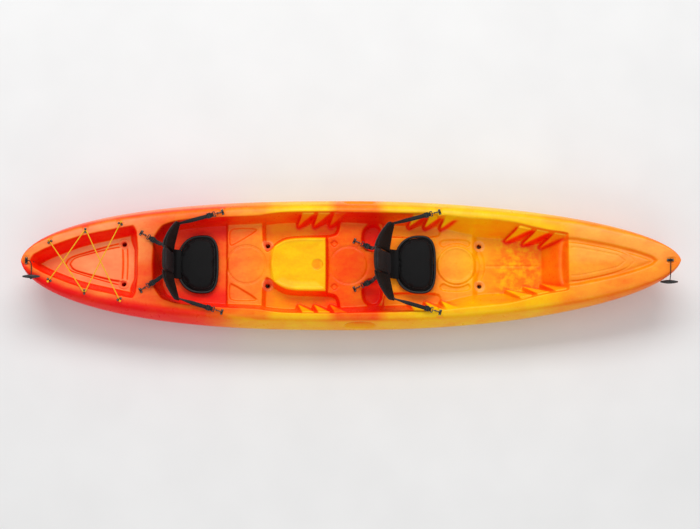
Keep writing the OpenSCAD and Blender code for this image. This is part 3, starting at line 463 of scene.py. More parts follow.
def tube(name, path, radius, look, sides=12, closed=False):
    """A round tube along a path in millimetres, with its lay kept for the braid."""
    first, second = carried_frames(path, closed)
    angle = full_turn(sides)[None, :, None]
    rings = path[:, None] + radius * (first[:, None] * np.cos(angle) + second[:, None] * np.sin(angle))
    rows = len(path)
    faces = grid_faces(rows, sides)
    run = run_along(path)
    if closed:
        last = (rows - 1) * sides
        faces += [[last + j, last + (j + 1) % sides, (j + 1) % sides, j] for j in range(sides)]
        run = np.append(run, run[-1] + np.linalg.norm(path[0] - path[-1]))
    weave = []
    for face in faces:
        i, j = divmod(face[0], sides)
        near, far = (2 * math.pi * radius * (j + k) / sides for k in (0, 1))
        weave += [(run[i], near, 0), (run[i], far, 0), (run[i + 1], far, 0), (run[i + 1], near, 0)]
    if not closed:
        faces.append(list(range(sides))[::-1])
        faces.append(list(range((rows - 1) * sides, rows * sides)))
        weave += [(0, 0, 0)] * (2 * sides)
    made = mesh_object(name, rings.reshape(-1, 3), faces, look)
    write_weave(made.data, weave)
    return made


def knot(name, centre, way, reach, cord_r, look):
    """A stopper knot: three turns of the cord drawn tight round its own line."""
    t = full_turn(90)
    loops = np.stack([np.sin(t) + 2 * np.sin(2 * t), np.cos(t) - 2 * np.cos(2 * t), -1.5 * np.sin(3 * t)], 1)
    turn = np.array(Vector(way).to_track_quat("Z", "Y").to_matrix())
    path = np.array(centre) + loops * (reach - cord_r) / 3 @ turn.T
    return tube(name, path, cord_r, look, 10, closed=True)


# Carry cords: each is tied round its eye's bar and runs outboard to its toggle
CARRY_R = 3.0
BAR_R = 6
CARRY_KNOT = (8, 2.8)
CARRY_CORDS = {
    "bow": ((1980, 0, 383.318), (0, -1), [
        (0, -12, 6), (0, -26, 3), (0, -42, -2), (0, -58, -5), (0, -72, -6), (0, -86, -10), (0, -98, -18),
        (0, -108, -29), (0, -117, -42), (0, -124, -54), (0, -126, -62), (0, -126, -68), (0, -126, -94),
    ]),
    "stern": ((-2012, 0, 357.909), (1, 0), [
        (12, 0, 6), (22, -3, 2), (29, -12, -3), (32, -26, -6), (33, -42, -6), (33, -58, -5), (33, -72, -2),
        (33, -80, -1), (33, -86, -1), (33, -112, -1),
    ]),
}


def make_carry_cord(end):
    bar, aim, run = CARRY_CORDS[end]
    body = end + "_toggle"
    turns = np.radians(np.arange(-165, 91, 15))
    hitch = BAR_R * np.column_stack([np.outer(-np.cos(turns), aim), np.sin(turns)])
    path = softened(np.array([hitch[-1], *run]) + bar, 2, 6)
    cord = keep(tube(end + "_carry_cord", path, CARRY_R, CORD_LOOK), body, "carry_cord", body + "_cord")
    keep(tube(end + "_carry_hitch", hitch + bar, CARRY_R, CORD_LOOK), body, "carry_cord")
    stop = knot(end + "_carry_knot", path[-1], path[-1] - path[-5], *CARRY_KNOT, CORD_LOOK)
    keep(stop, body, "carry_cord", body + "_knot")


for end in CARRY_CORDS:
    make_carry_cord(end)


# Hull form, in millimetres: the sections that the part's source uses, with the bow's value before the stern's
LENGTH = 4090
BEAM = 820
GUNWALE = 290
SEAM = 145
TIP_HEIGHT = (380, 350)
PLAN_POWER = (2.0, 2.6)
PLAN_ROUND = (0.56, 0.53)
SHEER_POWER = 2.5
SEAM_POWER = 3
SEAM_DROP = 38
ROCKER_START = 1000
ROCKER_POWER = 5
ROCKER_DROP = 140
RAIL_LEAN = 51
TIP_SHARE = 0.9995
BOTTOM_FLAT = 6
BILGE_POWER = 0.75
DEADRISE_POWER = 1.3
SIDE_POWER = 1.6
CREST_ROUND = 24
CREST_SHARE = 0.3
RAIL_CROWN = 12
RAIL_WIDTH = 80
CROWN_BEAM = 200
TIP_ZONE = 55
STATIONS = 820
TIP_STATIONS = 16
BOTTOM_ROWS = 13
SIDE_ROWS = 27
CREST_ROWS = 6
DECK_ROWS = 191


def by_end(x, bow, stern):
    return np.where(x > 0, bow, stern)


def along(x):
    return np.minimum(TIP_SHARE, np.abs(x) / (LENGTH / 2))


def half_beam(x):
    return BEAM / 2 * (1 - along(x) ** by_end(x, *PLAN_POWER)) ** by_end(x, *PLAN_ROUND)


def deck(x):
    return mix(GUNWALE, by_end(x, *TIP_HEIGHT), along(x) ** SHEER_POWER)


def seam(x):
    return mix(SEAM, by_end(x, *TIP_HEIGHT) - SEAM_DROP, along(x) ** SEAM_POWER)


def keel(x):
    rise = np.maximum(0, (np.abs(x) - ROCKER_START) / (LENGTH / 2 - ROCKER_START))
    return (by_end(x, *TIP_HEIGHT) - ROCKER_DROP) * rise ** ROCKER_POWER


def crest(x):
    return half_beam(x) * (1 - RAIL_LEAN / (BEAM / 2))


def crown(x, y):
    """How far the rail has dropped from the deck's height at a distance from the centre line."""
    out = np.clip((np.abs(y) - crest(x)) / RAIL_WIDTH + 1, 0, 1)
    return RAIL_CROWN * np.minimum(1, crest(x) / CROWN_BEAM) * out ** 2


def rim(x, rail):
    return float(crest(np.float64(x)) - rail)


def rim_at(x, rail):
    return (x, rim(x, rail))


# Loops in plan, and the shapes that are sunk into the deck or stand up on it

def mirrored(side):
    return side + [(x, -y) for x, y in reversed(side)]


def rounded(loop, radius, times=3):
    """The loop with each corner cut back by its radius at most, then smoothed at its quarter points."""
    loop = np.array(loop, float)
    eased = []
    corners = zip(np.roll(loop, 1, 0), loop, np.roll(loop, -1, 0), np.broadcast_to(radius, len(loop)))
    for before, corner, after, most in corners:
        for other in (before, after):
            run = other - corner
            size = np.hypot(*run)
            eased.append(corner + run / size * min(most, size * 0.45))
    eased = np.array(eased)
    for _ in range(times):
        ahead = np.roll(eased, -1, 0)
        eased = np.stack([mix(eased, ahead, 0.25), mix(eased, ahead, 0.75)], 1).reshape(-1, 2)
    return eased


def inside(x, y, loop):
    """Distance to the loop, positive inside it."""
    nearest = np.full(x.shape, 1e12)
    within = np.zeros(x.shape, bool)
    for (ax, ay), (bx, by) in zip(loop, np.roll(loop, -1, 0)):
        ex = bx - ax
        ey = by - ay
        t = np.clip(((x - ax) * ex + (y - ay) * ey) / max(ex * ex + ey * ey, 1e-9), 0, 1)
        nearest = np.minimum(nearest, (x - ax - t * ex) ** 2 + (y - ay - t * ey) ** 2)
        if abs(ey) > 1e-9:
            within ^= ((ay > y) != (by > y)) & (x < ex * (y - ay) / ey + ax)
    return np.where(within, 1, -1) * np.sqrt(nearest)


def disc(x, y, centre, radius):
    return radius - np.hypot(x - centre[0], y - centre[1])


def ramp(depth, lean, k):
    """0 outside a lip and 1 past the foot of its wall, both rounded."""
    return smooth_min(smooth_max(depth, 0, k), lean, k) / lean


def carve(z, depth, lean, floor, k):
    return mix(z, np.minimum(z, floor), ramp(depth, lean, k))


def groove(z, depth, half, deep):
    return z - deep * hump(depth, half)


RECESS = 13
RECESS_LEAN = 9
RECESS_ROUND = 5


def recess(z, depth, deep=RECESS, lean=RECESS_LEAN):
    return z - deep * ramp(depth, lean, RECESS_ROUND)


# Stations and levels of the moulding, as in the part's source
TANK_AFT = -1990
TANK_FORE = -1333
COCKPIT_AFT = -1231
REAR_FLAT = -776
FOOT_AFT = -552
CENTRE_AFT = -490
CENTRE_FORE = -153
FOOT_FORE = -66
FRONT_SEAT = 190
FRONT_FLAT = 531
BOW_WELL_AFT = 775
BOW_WELL_FORE = 1198
COCKPIT_FORE = 1360
PANEL_AFT = 1372
PANEL_FORE = 1895
TANK_RAIL = 61
REAR_RAIL = 62
MID_RAIL = 42
BOW_RAIL = 50
BOW_END_RAIL = 84
PANEL_RAIL = 94
CENTRE_SEAT = 202
TANK_FLOOR = 205
REAR_FLOOR = 165
REAR_FLAT_FLOOR = 190
MID_FLOOR = 164
FRONT_FLOOR = 158
FRONT_FLAT_FLOOR = 150
FOOT_FLOOR = 122
BOW_FLOOR = 112
SCUPPER_R = 15
SCUPPER_Y = 127
SCUPPERS = [(-1420, TANK_FLOOR), (-522, FOOT_FLOOR), (811, BOW_FLOOR)]
CORNER = 45
SQUARE_CORNER = 10
TANK_LOOP = rounded(mirrored([
    (TANK_AFT, 16), rim_at(-1938, TANK_RAIL), rim_at(-1694, TANK_RAIL), rim_at(-1385, TANK_RAIL),
    rim_at(TANK_FORE, TANK_RAIL), (TANK_FORE, 60),
]), CORNER)
COCKPIT_LOOP = rounded(mirrored([
    (COCKPIT_AFT, 60), (COCKPIT_AFT + 10, 200), rim_at(-1111, REAR_RAIL), rim_at(REAR_FLAT, REAR_RAIL),
    rim_at(FOOT_AFT, REAR_RAIL), rim_at(-442, MID_RAIL), rim_at(FOOT_FORE, MID_RAIL),
    rim_at(FRONT_SEAT, MID_RAIL), rim_at(FRONT_FLAT, MID_RAIL), rim_at(BOW_WELL_AFT, BOW_RAIL),
    rim_at(998, BOW_RAIL), rim_at(BOW_WELL_FORE, BOW_END_RAIL), rim_at(COCKPIT_FORE, BOW_END_RAIL),
    (COCKPIT_FORE, 60),
]), [CORNER] * 12 + [SQUARE_CORNER] * 4 + [CORNER] * 12)
FOOT_LOOP = rounded([
    (FOOT_AFT, 84), (-498, 84), (-430, 174), (FOOT_FORE, 174), (FOOT_FORE, 420), (FOOT_AFT, 420),
], CORNER)
POCKET_LOOP = rounded([(66, 92), (205, 80), (205, 262), (72, 262)], 40)
CHANNEL_LOOP = rounded([(200, 172), (572, 172), (572, 320), (200, 320)], 28)
PANEL_LOOP = rounded(mirrored([
    (COCKPIT_FORE - 60, rim(PANEL_AFT, PANEL_RAIL) + 12), rim_at(1633.5, PANEL_RAIL), (1840, 50),
    (PANEL_FORE + 12, 14),
]), CORNER)

# Levels of the cockpit's floor from aft to fore: where each begins, how long its step is, and its height
FLOOR_STEPS = [
    (REAR_FLAT, 18, REAR_FLAT_FLOOR),
    (CENTRE_FORE, 14, MID_FLOOR),
    (FRONT_SEAT, 16, FRONT_FLOOR),
    (FRONT_FLAT, 16, FRONT_FLAT_FLOOR),
    (BOW_WELL_AFT + 6, 44, BOW_FLOOR),
]
# Hollows in that floor: outline, lean of the wall, level, and rounding of the edges
FLOOR_HOLLOWS = [
    (FOOT_LOOP, 14, FOOT_FLOOR, 9),
    (POCKET_LOOP, 16, FOOT_FLOOR, 10),
    (CHANNEL_LOOP, 10, FOOT_FLOOR + 14, 6),
]
# How far the cockpit's walls lean in, by station, and the shifts that this is eased over
WALL_LEAN = [
    (COCKPIT_AFT, 62), (-1150, 30), (-1040, 22), (-780, 24), (-300, 34), (0, 44), (200, 56), (560, 50),
    (700, 80), (850, 92), (1000, 76), (1198, 56), (COCKPIT_FORE, 40),
]
LEAN_EASE = (-80, -40, 0, 40, 80)
TANK_LEAN = 40
TANK_DRAIN_LEAN = 12
TANK_DRAIN_X = (-1480, -1380)
TANK_DRAIN_Y = (160, 80)
WELL_ROUND = 12
BULKHEAD_MARGIN = 60


def cockpit_floor(x, y):
    z = np.full(x.shape, float(REAR_FLOOR))
    for start, run, level in FLOOR_STEPS:
        z = mix(z, level, smooth_step(start - run / 2, start + run / 2, x))
    for loop, lean, level, edge in FLOOR_HOLLOWS:
        z = carve(z, inside(x, np.abs(y), loop), lean, level, edge)
    return z


def sink_wells(z, x, y):
    """The tank well, and the cockpit with its floors and the sloping bulkhead at its bow end."""
    drain = smooth_step(*TANK_DRAIN_Y, np.abs(y)) * smooth_step(*TANK_DRAIN_X, x)
    tank_lean = mix(TANK_LEAN, TANK_DRAIN_LEAN, drain)
    z = mix(z, TANK_FLOOR, ramp(inside(x, y, TANK_LOOP), tank_lean, WELL_ROUND))
    lean = np.mean([np.interp(x + shift, *np.transpose(WALL_LEAN)) for shift in LEAN_EASE], 0)
    z = mix(z, cockpit_floor(x, y), ramp(inside(x, y, COCKPIT_LOOP), lean, WELL_ROUND))
    climb = (x - BOW_WELL_FORE) / (COCKPIT_FORE - BOW_WELL_FORE)
    bulkhead = mix(BOW_FLOOR, deck(x), climb)
    walled = np.minimum(smooth_max(z, bulkhead, WELL_ROUND), deck(x) - crown(x, y))
    return np.where(x > BOW_WELL_FORE - BULKHEAD_MARGIN, walled, z)


# Foot ridges on the walls of the wells
RIDGE_FOOT = 70
RIDGE_RAKE = 34
RIDGE_REACH = 66
RIDGE_ROOT = 5
RIDGE_DROP = 20
RIDGE_TIP_RISE = 22
RIDGE_CORNER = 10
RIDGE_ROUND = 4
RIDGE_FLANK = 3
RIDGE_MARGIN = 40
MID_INSET = 8
BOW_INSET = 12


def mid_wall(x):
    return rim(x, MID_RAIL) - MID_INSET


def bow_wall(x):
    share = (x - BOW_WELL_AFT) / (COCKPIT_FORE - BOW_WELL_AFT)
    return mix(rim(BOW_WELL_AFT, BOW_RAIL), rim(COCKPIT_FORE, BOW_END_RAIL), share) - BOW_INSET


# Groups of three ridges: first foot, pitch, wall that they stand against, floor, and extra length of the tips
RIDGE_GROUPS = [
    (FOOT_FORE - 234, 100, mid_wall, FOOT_FLOOR, 0),
    (FRONT_SEAT + 207, 100, mid_wall, FRONT_FLOOR, 0),
    (BOW_WELL_AFT + 280, 110, bow_wall, BOW_FLOOR, 50),
]
RIDGES = [
    (first + pitch * i, wall, floor, tail)
    for first, pitch, wall, floor, tail in RIDGE_GROUPS for i in range(3)
]


def ridge_corners(foot_x, wall, tail):
    """Where a foot ridge meets the wall, aft and fore, and its tip, which lies aft of its foot."""
    aft = (foot_x, wall(foot_x))
    fore = (foot_x + RIDGE_FOOT, wall(foot_x + RIDGE_FOOT))
    return aft, fore, (foot_x - RIDGE_RAKE - tail, aft[1] - RIDGE_REACH)


def ridge_depth(x, y, foot_x, wall, tail):
    aft, fore, tip = ridge_corners(foot_x, wall, tail)
    loop = [(aft[0], aft[1] + RIDGE_ROOT), aft, tip, fore, (fore[0], fore[1] + RIDGE_ROOT)]
    return inside(x, np.abs(y), rounded(loop, RIDGE_CORNER, 2))


def raise_ridges(z, x, y):
    """The ridges' tops slope down from the wall to their tips."""
    for foot_x, wall, floor, tail in RIDGES:
        corners = np.array(ridge_corners(foot_x, wall, tail))
        high = deck(foot_x) - RIDGE_DROP
        slope = np.linalg.solve(np.column_stack([corners, np.ones(3)]), [high, high, floor + RIDGE_TIP_RISE])
        depth = ridge_depth(x, y, foot_x, wall, tail)
        top = slope[0] * x + slope[1] * np.abs(y) + slope[2] + RIDGE_FLANK * np.minimum(depth, 0)
        z = np.where(depth > -RIDGE_MARGIN, smooth_max(z, np.minimum(top, high), RIDGE_ROUND), z)
    return z


SEAT_HALF = 168
SEAT_CORNERS = [60, 70, 8, 8, 70, 60]
SEAT_RIM = 5
SEAT_BOWL = 7
DIMPLE = (-209, 0)
DIMPLE_R = 36
DIMPLE_DEPTH = 8


def shape_centre_seat(z, x, y):
    """A raised seat with a rounded rim, a shallow bowl and one dimple."""
    side = [(CENTRE_AFT - 14, 60), (CENTRE_AFT + 30, SEAT_HALF), (CENTRE_FORE, SEAT_HALF)]
    depth = inside(x, y, rounded(mirrored(side), SEAT_CORNERS))
    seat = CENTRE_SEAT + SEAT_RIM * hump(depth - 12, 8) - SEAT_BOWL * smooth_step(16, 70, depth)
    seat = seat - DIMPLE_DEPTH * ramp(disc(x, y, DIMPLE, DIMPLE_R), 8, 4)
    return mix(z, np.maximum(z, seat), ramp(depth + 12, 14, 8))


def mark_tank(z, x, y):
    """The drain channels of the tank well: a three-cornered ring and a bar between its scuppers."""
    outer = rounded(mirrored([(-1790, 12), (-1757, 50), (-1425, 145), (-1393, 120)]), 20)
    inner = rounded(mirrored([(-1754, 8), (-1723, 40), (-1430, 113)]), 16)
    return recess(z, np.minimum(inside(x, y, outer), -inside(x, y, inner)), lean=8)


REAR_HATCH = (-654, 0)
MID_HATCH = (-12, 0)
FRONT_HATCH = (665, 0)
REAR_HATCH_R = 121
MID_HATCH_R = 118
FRONT_HATCH_R = 126
HATCH_RING = 111
HATCH_CLEAR = 134
DRAIN_BEND = 164
REAR_CORNER = [(-766, 234), (-584, 234), (-584, 212), (-742, 116), (-766, 116)]
MID_CORNER = [(-129, 114), (-76, 114), (-76, 160), (-129, 160)]
FRONT_CORNER = [(556, 108), (756, 108), (756, 168), (556, 168)]


def mark_cockpit(z, x, y):
    """Hatch circles, recesses beside them, the bow drain channel and the bow floor's middle line."""
    size = np.abs(y)
    z = groove(z, disc(x, y, REAR_HATCH, REAR_HATCH_R), 6, 6)
    z = recess(z, inside(x, size, rounded(REAR_CORNER, 26)), RECESS + 1)
    z = groove(z, disc(x, y, MID_HATCH, MID_HATCH_R), 6, 5)
    z = recess(z, inside(x, size, rounded(MID_CORNER, 20)))
    z = z + 7 * hump(disc(x, y, FRONT_HATCH, HATCH_RING), 9)
    z = groove(z, disc(x, y, FRONT_HATCH, FRONT_HATCH_R), 5, 5)
    crescent = inside(x, size, rounded(FRONT_CORNER, 22))
    z = recess(z, np.minimum(crescent, -disc(x, y, FRONT_HATCH, HATCH_CLEAR)))
    bend = 20 - np.abs(disc(x, y, FRONT_HATCH, DRAIN_BEND))
    channel = np.minimum(bend, np.minimum(128 - size, x - 790))
    z = recess(z, smooth_max(channel, disc(x, size, (SCUPPERS[2][0], SCUPPER_Y), 36), 6), 10)
    middle_line = np.maximum(size, np.maximum(860 - x, x - 1180))
    return groove(z, middle_line, 6, 6)


TROUGH_INSET = 22
# Fine lines on the bow panel: half width aft, shoulder and its half width, and nose
PANEL_LINES = [(141, 1640, 78, 1760), (104, 1600, 52, 1702)]


def mark_bow_panel(z, x, y):
    """The sunk panel on the foredeck, with a trough round it and two fine lines on it."""
    depth = inside(x, y, PANEL_LOOP)
    z = z - 8 * ramp(depth, 18, 10)
    z = groove(z, depth - TROUGH_INSET, 15, 12)
    for half, shoulder, shoulder_half, nose in PANEL_LINES:
        loop = rounded(mirrored([(PANEL_AFT - 40, half), (shoulder, shoulder_half), (nose, 24)]), 40)
        z = np.where(x > PANEL_AFT, groove(z, inside(x, y, loop), 5, 4), z)
    return z


# Deck eyes: place and yaw of each on the port side or the centre line
STRAP_EYES = {
    ("rear", "aft"): ((-1305, 181, 307.518), 148.599),
    ("rear", "side"): ((-800, 314.564, 293.743), 16.547),
    ("front", "aft"): ((24, 153, 164), 156.079),
    ("front", "side"): ((556, 316.388, 291.469), 15.496),
}
RAIL_EYES = [("rear", "aft"), ("rear", "side"), ("front", "side")]
CORD_EYES = [
    ((-1869, 119.444, 336.912), 124.751),
    ((-1652, 193.35, 324.192), 0),
    ((-1436, 237.132, 313.792), 63.354),
]
CARRY_EYES = [((1980, 0, 368), -90), ((-2012, 0, 342), 0)]
# The eyes whose plates are let into the crowned deck, with the half sizes of each kind of plate
LET_IN = [
    ([STRAP_EYES[key] for key in RAIL_EYES], (7, 17)),
    (CORD_EYES, (6, 16.5)),
    (CARRY_EYES, (8, 21)),
]
PLATE_MARGIN = 3
PLATE_EASE = 12


def let_in_plates(z, x, y):
    """Flats that the eye plates sit on."""
    for eyes, half in LET_IN:
        for (ex, ey, ez), yaw in eyes:
            turn = math.radians(yaw)
            ahead = (x - ex) * math.cos(turn) + (np.abs(y) - ey) * math.sin(turn)
            across = (np.abs(y) - ey) * math.cos(turn) - (x - ex) * math.sin(turn)
            depth = PLATE_MARGIN + np.minimum(half[0] - np.abs(ahead), half[1] - np.abs(across))
            z = mix(z, ez, smooth_step(-PLATE_EASE, 0, depth))
    return z


def dish_scuppers(z, x, y):
    """A dish round each scupper's hole, with a low boss round the dish."""
    for at, _ in SCUPPERS:
        edge = disc(x, np.abs(y), (at, SCUPPER_Y), SCUPPER_R)
        z = z - 6 * ramp(edge + 7, 7, 4) + 6 * hump(edge + 11, 5)
    return z


def deck_surface(x, y):
    z = deck(x) - crown(x, y)
    for step in (sink_wells, raise_ridges, shape_centre_seat, mark_tank, mark_cockpit, mark_bow_panel,
                 let_in_plates, dish_scuppers):
        z = step(z, x, y)
    return z


SCOOP_LOOP = rounded([(-48, 191), (164, 191), (146, 253), (-30, 253)], 30)
SCOOP_BACK = 346


def side_scoop(x, y, z):
    """How far the carry scoop under each rail draws the side in."""
    return ramp(inside(x, z, SCOOP_LOOP), 12, 8) * np.maximum(0, y - SCOOP_BACK)


def bezier(start, corner, end, t):
    return start * (1 - t) ** 2 + corner * 2 * t * (1 - t) + end * t ** 2


def hull_rings():
    """Points of the moulding by station and row: port bottom to crest, over the deck, and down again."""
    tips = LENGTH / 2 - TIP_ZONE + TIP_ZONE * (1 - (1 - np.linspace(0, 1, TIP_STATIONS)) ** 2)
    middle = np.linspace(-tips[0], tips[0], STATIONS)[1:-1]
    x = np.concatenate([-tips[::-1], middle, tips])[:, None]
    wide = half_beam(x)
    low = keel(x)
    edge = crest(x)
    top = deck(x) - crown(x, edge)
    t = np.radians(np.linspace(0, 90, BOTTOM_ROWS))[None, :-1]
    bottom_y = wide * np.sin(t) ** BILGE_POWER
    lift = (seam(x) - low + BOTTOM_FLAT) * (1 - np.cos(t)) ** DEADRISE_POWER - BOTTOM_FLAT
    bottom_z = low + np.maximum(0, lift)
    turn = np.minimum(CREST_ROUND, CREST_SHARE * (top - seam(x)))
    s = np.linspace(0, 1, SIDE_ROWS)[None] * (1 - turn / (top - seam(x)))
    side_y = mix(wide, edge, s ** SIDE_POWER)
    side_z = mix(seam(x), top, s)
    inner = edge - np.minimum(turn, 0.5 * edge)
    b = np.linspace(0, 1, CREST_ROWS)[None, 1:-1]
    crest_y = bezier(side_y[:, -1:], edge, inner, b)
    crest_z = bezier(side_z[:, -1:], top, deck(x) - crown(x, inner), b)
    crest_z = let_in_plates(crest_z, np.broadcast_to(x, crest_y.shape), crest_y)
    deck_y = inner * np.linspace(1, -1, DECK_ROWS)[None]
    deck_z = deck_surface(np.broadcast_to(x, deck_y.shape), deck_y)
    side_y = side_y - side_scoop(np.broadcast_to(x, side_y.shape), side_y, side_z)
    half_y = np.concatenate([bottom_y, side_y, crest_y], 1)
    half_z = np.concatenate([bottom_z, side_z, crest_z], 1)
    y = np.concatenate([half_y, deck_y, -half_y[:, :0:-1]], 1)
    z = np.concatenate([half_z, deck_z, half_z[:, :0:-1]], 1)
    return np.stack([np.broadcast_to(x, y.shape), y, z], 2)


def cylinder(start, end, radius, sides=40):
    """A closed round bar between two points, for cutting."""
    turn = (Vector(end) - Vector(start)).to_track_quat("Z", "Y")
    spokes = [turn @ Vector((radius * math.cos(a), radius * math.sin(a), 0)) for a in full_turn(sides)]
    rings = [[Vector(base) + spoke for spoke in spokes] for base in (start, end)]
    return mesh_object("cutter", *stacked(rings))


def cut(target, cutters):
    """Takes the cutters away from the target, and removes them."""
    bpy.context.view_layer.objects.active = target
    for cutter in cutters:
        step = target.modifiers.new("cut", "BOOLEAN")
        step.operation = "DIFFERENCE"
        step.solver = "MANIFOLD"
        step.object = cutter
        bpy.ops.object.modifier_apply(modifier=step.name)
        bpy.data.objects.remove(cutter)


# Colour along the hull, red at 0 and yellow at 1: station, rails, floors, walls (partly pigment, partly
# painted shade), sides, and painted sheen on flats
TONES = np.array([
    (-2045, 0.42, 0.40, 0.06, 0.04, 0.20),
    (-1900, 0.42, 0.40, 0.01, 0.01, 0.45),
    (-1560, 0.42, 0.40, 0.00, 0.01, 0.60),
    (-1330, 0.40, 0.38, 0.02, 0.02, 0.45),
    (-1240, 0.38, 0.32, 0.03, 0.04, 0.30),
    (-1150, 0.40, 0.24, 0.03, 0.06, 0.08),
    (-960, 0.44, 0.26, 0.06, 0.16, 0.00),
    (-800, 0.48, 0.34, 0.10, 0.40, 0.05),
    (-690, 0.52, 0.48, 0.22, 0.66, 0.12),
    (-540, 0.58, 0.58, 0.30, 0.78, 0.05),
    (-470, 0.88, 0.66, 0.32, 0.80, 0.00),
    (-260, 0.92, 0.60, 0.26, 0.80, 0.00),
    (-150, 0.90, 0.38, 0.16, 0.78, 0.00),
    (-80, 0.48, 0.33, 0.04, 0.74, 0.00),
    (160, 0.46, 0.36, 0.04, 0.74, 0.00),
    (240, 0.88, 0.58, 0.20, 0.80, 0.00),
    (520, 0.94, 0.58, 0.40, 0.80, 0.05),
    (640, 0.94, 0.70, 0.70, 0.80, 0.12),
    (780, 0.94, 0.74, 0.78, 0.80, 0.05),
    (1000, 0.92, 0.64, 0.66, 0.79, 0.00),
    (1180, 0.86, 0.60, 0.46, 0.78, 0.00),
    (1300, 0.76, 0.42, 0.38, 0.70, 0.05),
    (1420, 0.68, 0.60, 0.40, 0.62, 0.35),
    (1900, 0.62, 0.56, 0.38, 0.50, 0.35),
    (2045, 0.56, 0.50, 0.38, 0.44, 0.20),
])
SEAT_TONE = 0.88
POCKET_TONE = 0.08
REAR_EDGE_TONE = 0.03
# Painted shadow round the foot ridges
RIDGE_PAINTED_SHADOW_TONE = 0.07
# Painted shade in the bow panel's trough
TROUGH_PAINTED_SHADE = 0.16
# Painted shade on the starboard rails
STARBOARD_PAINTED_SHADE = 0.07
# Walls: partly the moulding's redder pigment, partly painted shade
WALL_PIGMENT_AND_SHADE_SHARE = 0.85
RIDGE_SHARE = 0.85
# Painted shade: less of the rails' yellow on the port ridges aft
REAR_PORT_RIDGE_PAINTED_SHADE_SHARE = 0.55
# Painted light: share of the rails' paler tone on the upper port sides
PORT_SIDE_PAINTED_LIGHT_SHARE = 0.75
# Painted highlight on the upper port sides aft
PORT_STERN_PAINTED_HIGHLIGHT = 0.55
# Painted highlight on the ring round each scupper's dish
BOSS_PAINTED_HIGHLIGHT = 0.4
MOTTLE = 0.26


def paint_floors(floors, x, y, z):
    """The floors' tones, with the centre seat, the pockets, the rear seat's edges and painted shade in the
    bow trough.
    """
    size = np.abs(y)
    seat = smooth_step(-4, 6, 172 - size) * smooth_step(-505, -490, x) * smooth_step(-150, -158, x)
    floors = mix(floors, SEAT_TONE, seat * smooth_step(185, 196, z))
    pocket = smooth_step(-6, 8, inside(x, size, POCKET_LOOP)) * smooth_step(160, 140, z)
    floors = mix(floors, POCKET_TONE, pocket)
    rear_edge = smooth_step(110, 220, size) * smooth_step(REAR_FLAT + 10, REAR_FLAT - 10, x)
    floors = mix(floors, REAR_EDGE_TONE, rear_edge * (x > COCKPIT_AFT))
    trough = hump(inside(x, y, PANEL_LOOP) - TROUGH_INSET, 14) * (x > COCKPIT_FORE)
    # Painted shade darkens the trough round the bow panel
    return floors - TROUGH_PAINTED_SHADE * trough


def ridge_cover(x, y):
    """How far each point lies on a foot ridge, and how close under one, where a painted shadow goes."""
    ridge = np.zeros(len(x))
    painted_ridge_shadow = np.zeros(len(x))
    for foot_x, wall, _, tail in RIDGES:
        depth = ridge_depth(x, y, foot_x, wall, tail)
        ridge = np.maximum(ridge, smooth_step(-11, 9, depth))
        painted_ridge_shadow = np.maximum(painted_ridge_shadow, smooth_step(-30, -6, depth))
    return ridge, painted_ridge_shadow * (1 - ridge)


# The ring round each scupper's dish, where a painted highlight goes
def scupper_bosses(x, y, z):
    boss = np.zeros(len(x))
    for at, _ in SCUPPERS:
        off = np.abs(disc(x, np.abs(y), (at, SCUPPER_Y), SCUPPER_R) + 10)
        boss = np.maximum(boss, smooth_step(12, 8, off))
    return boss * smooth_step(90, 100, z)


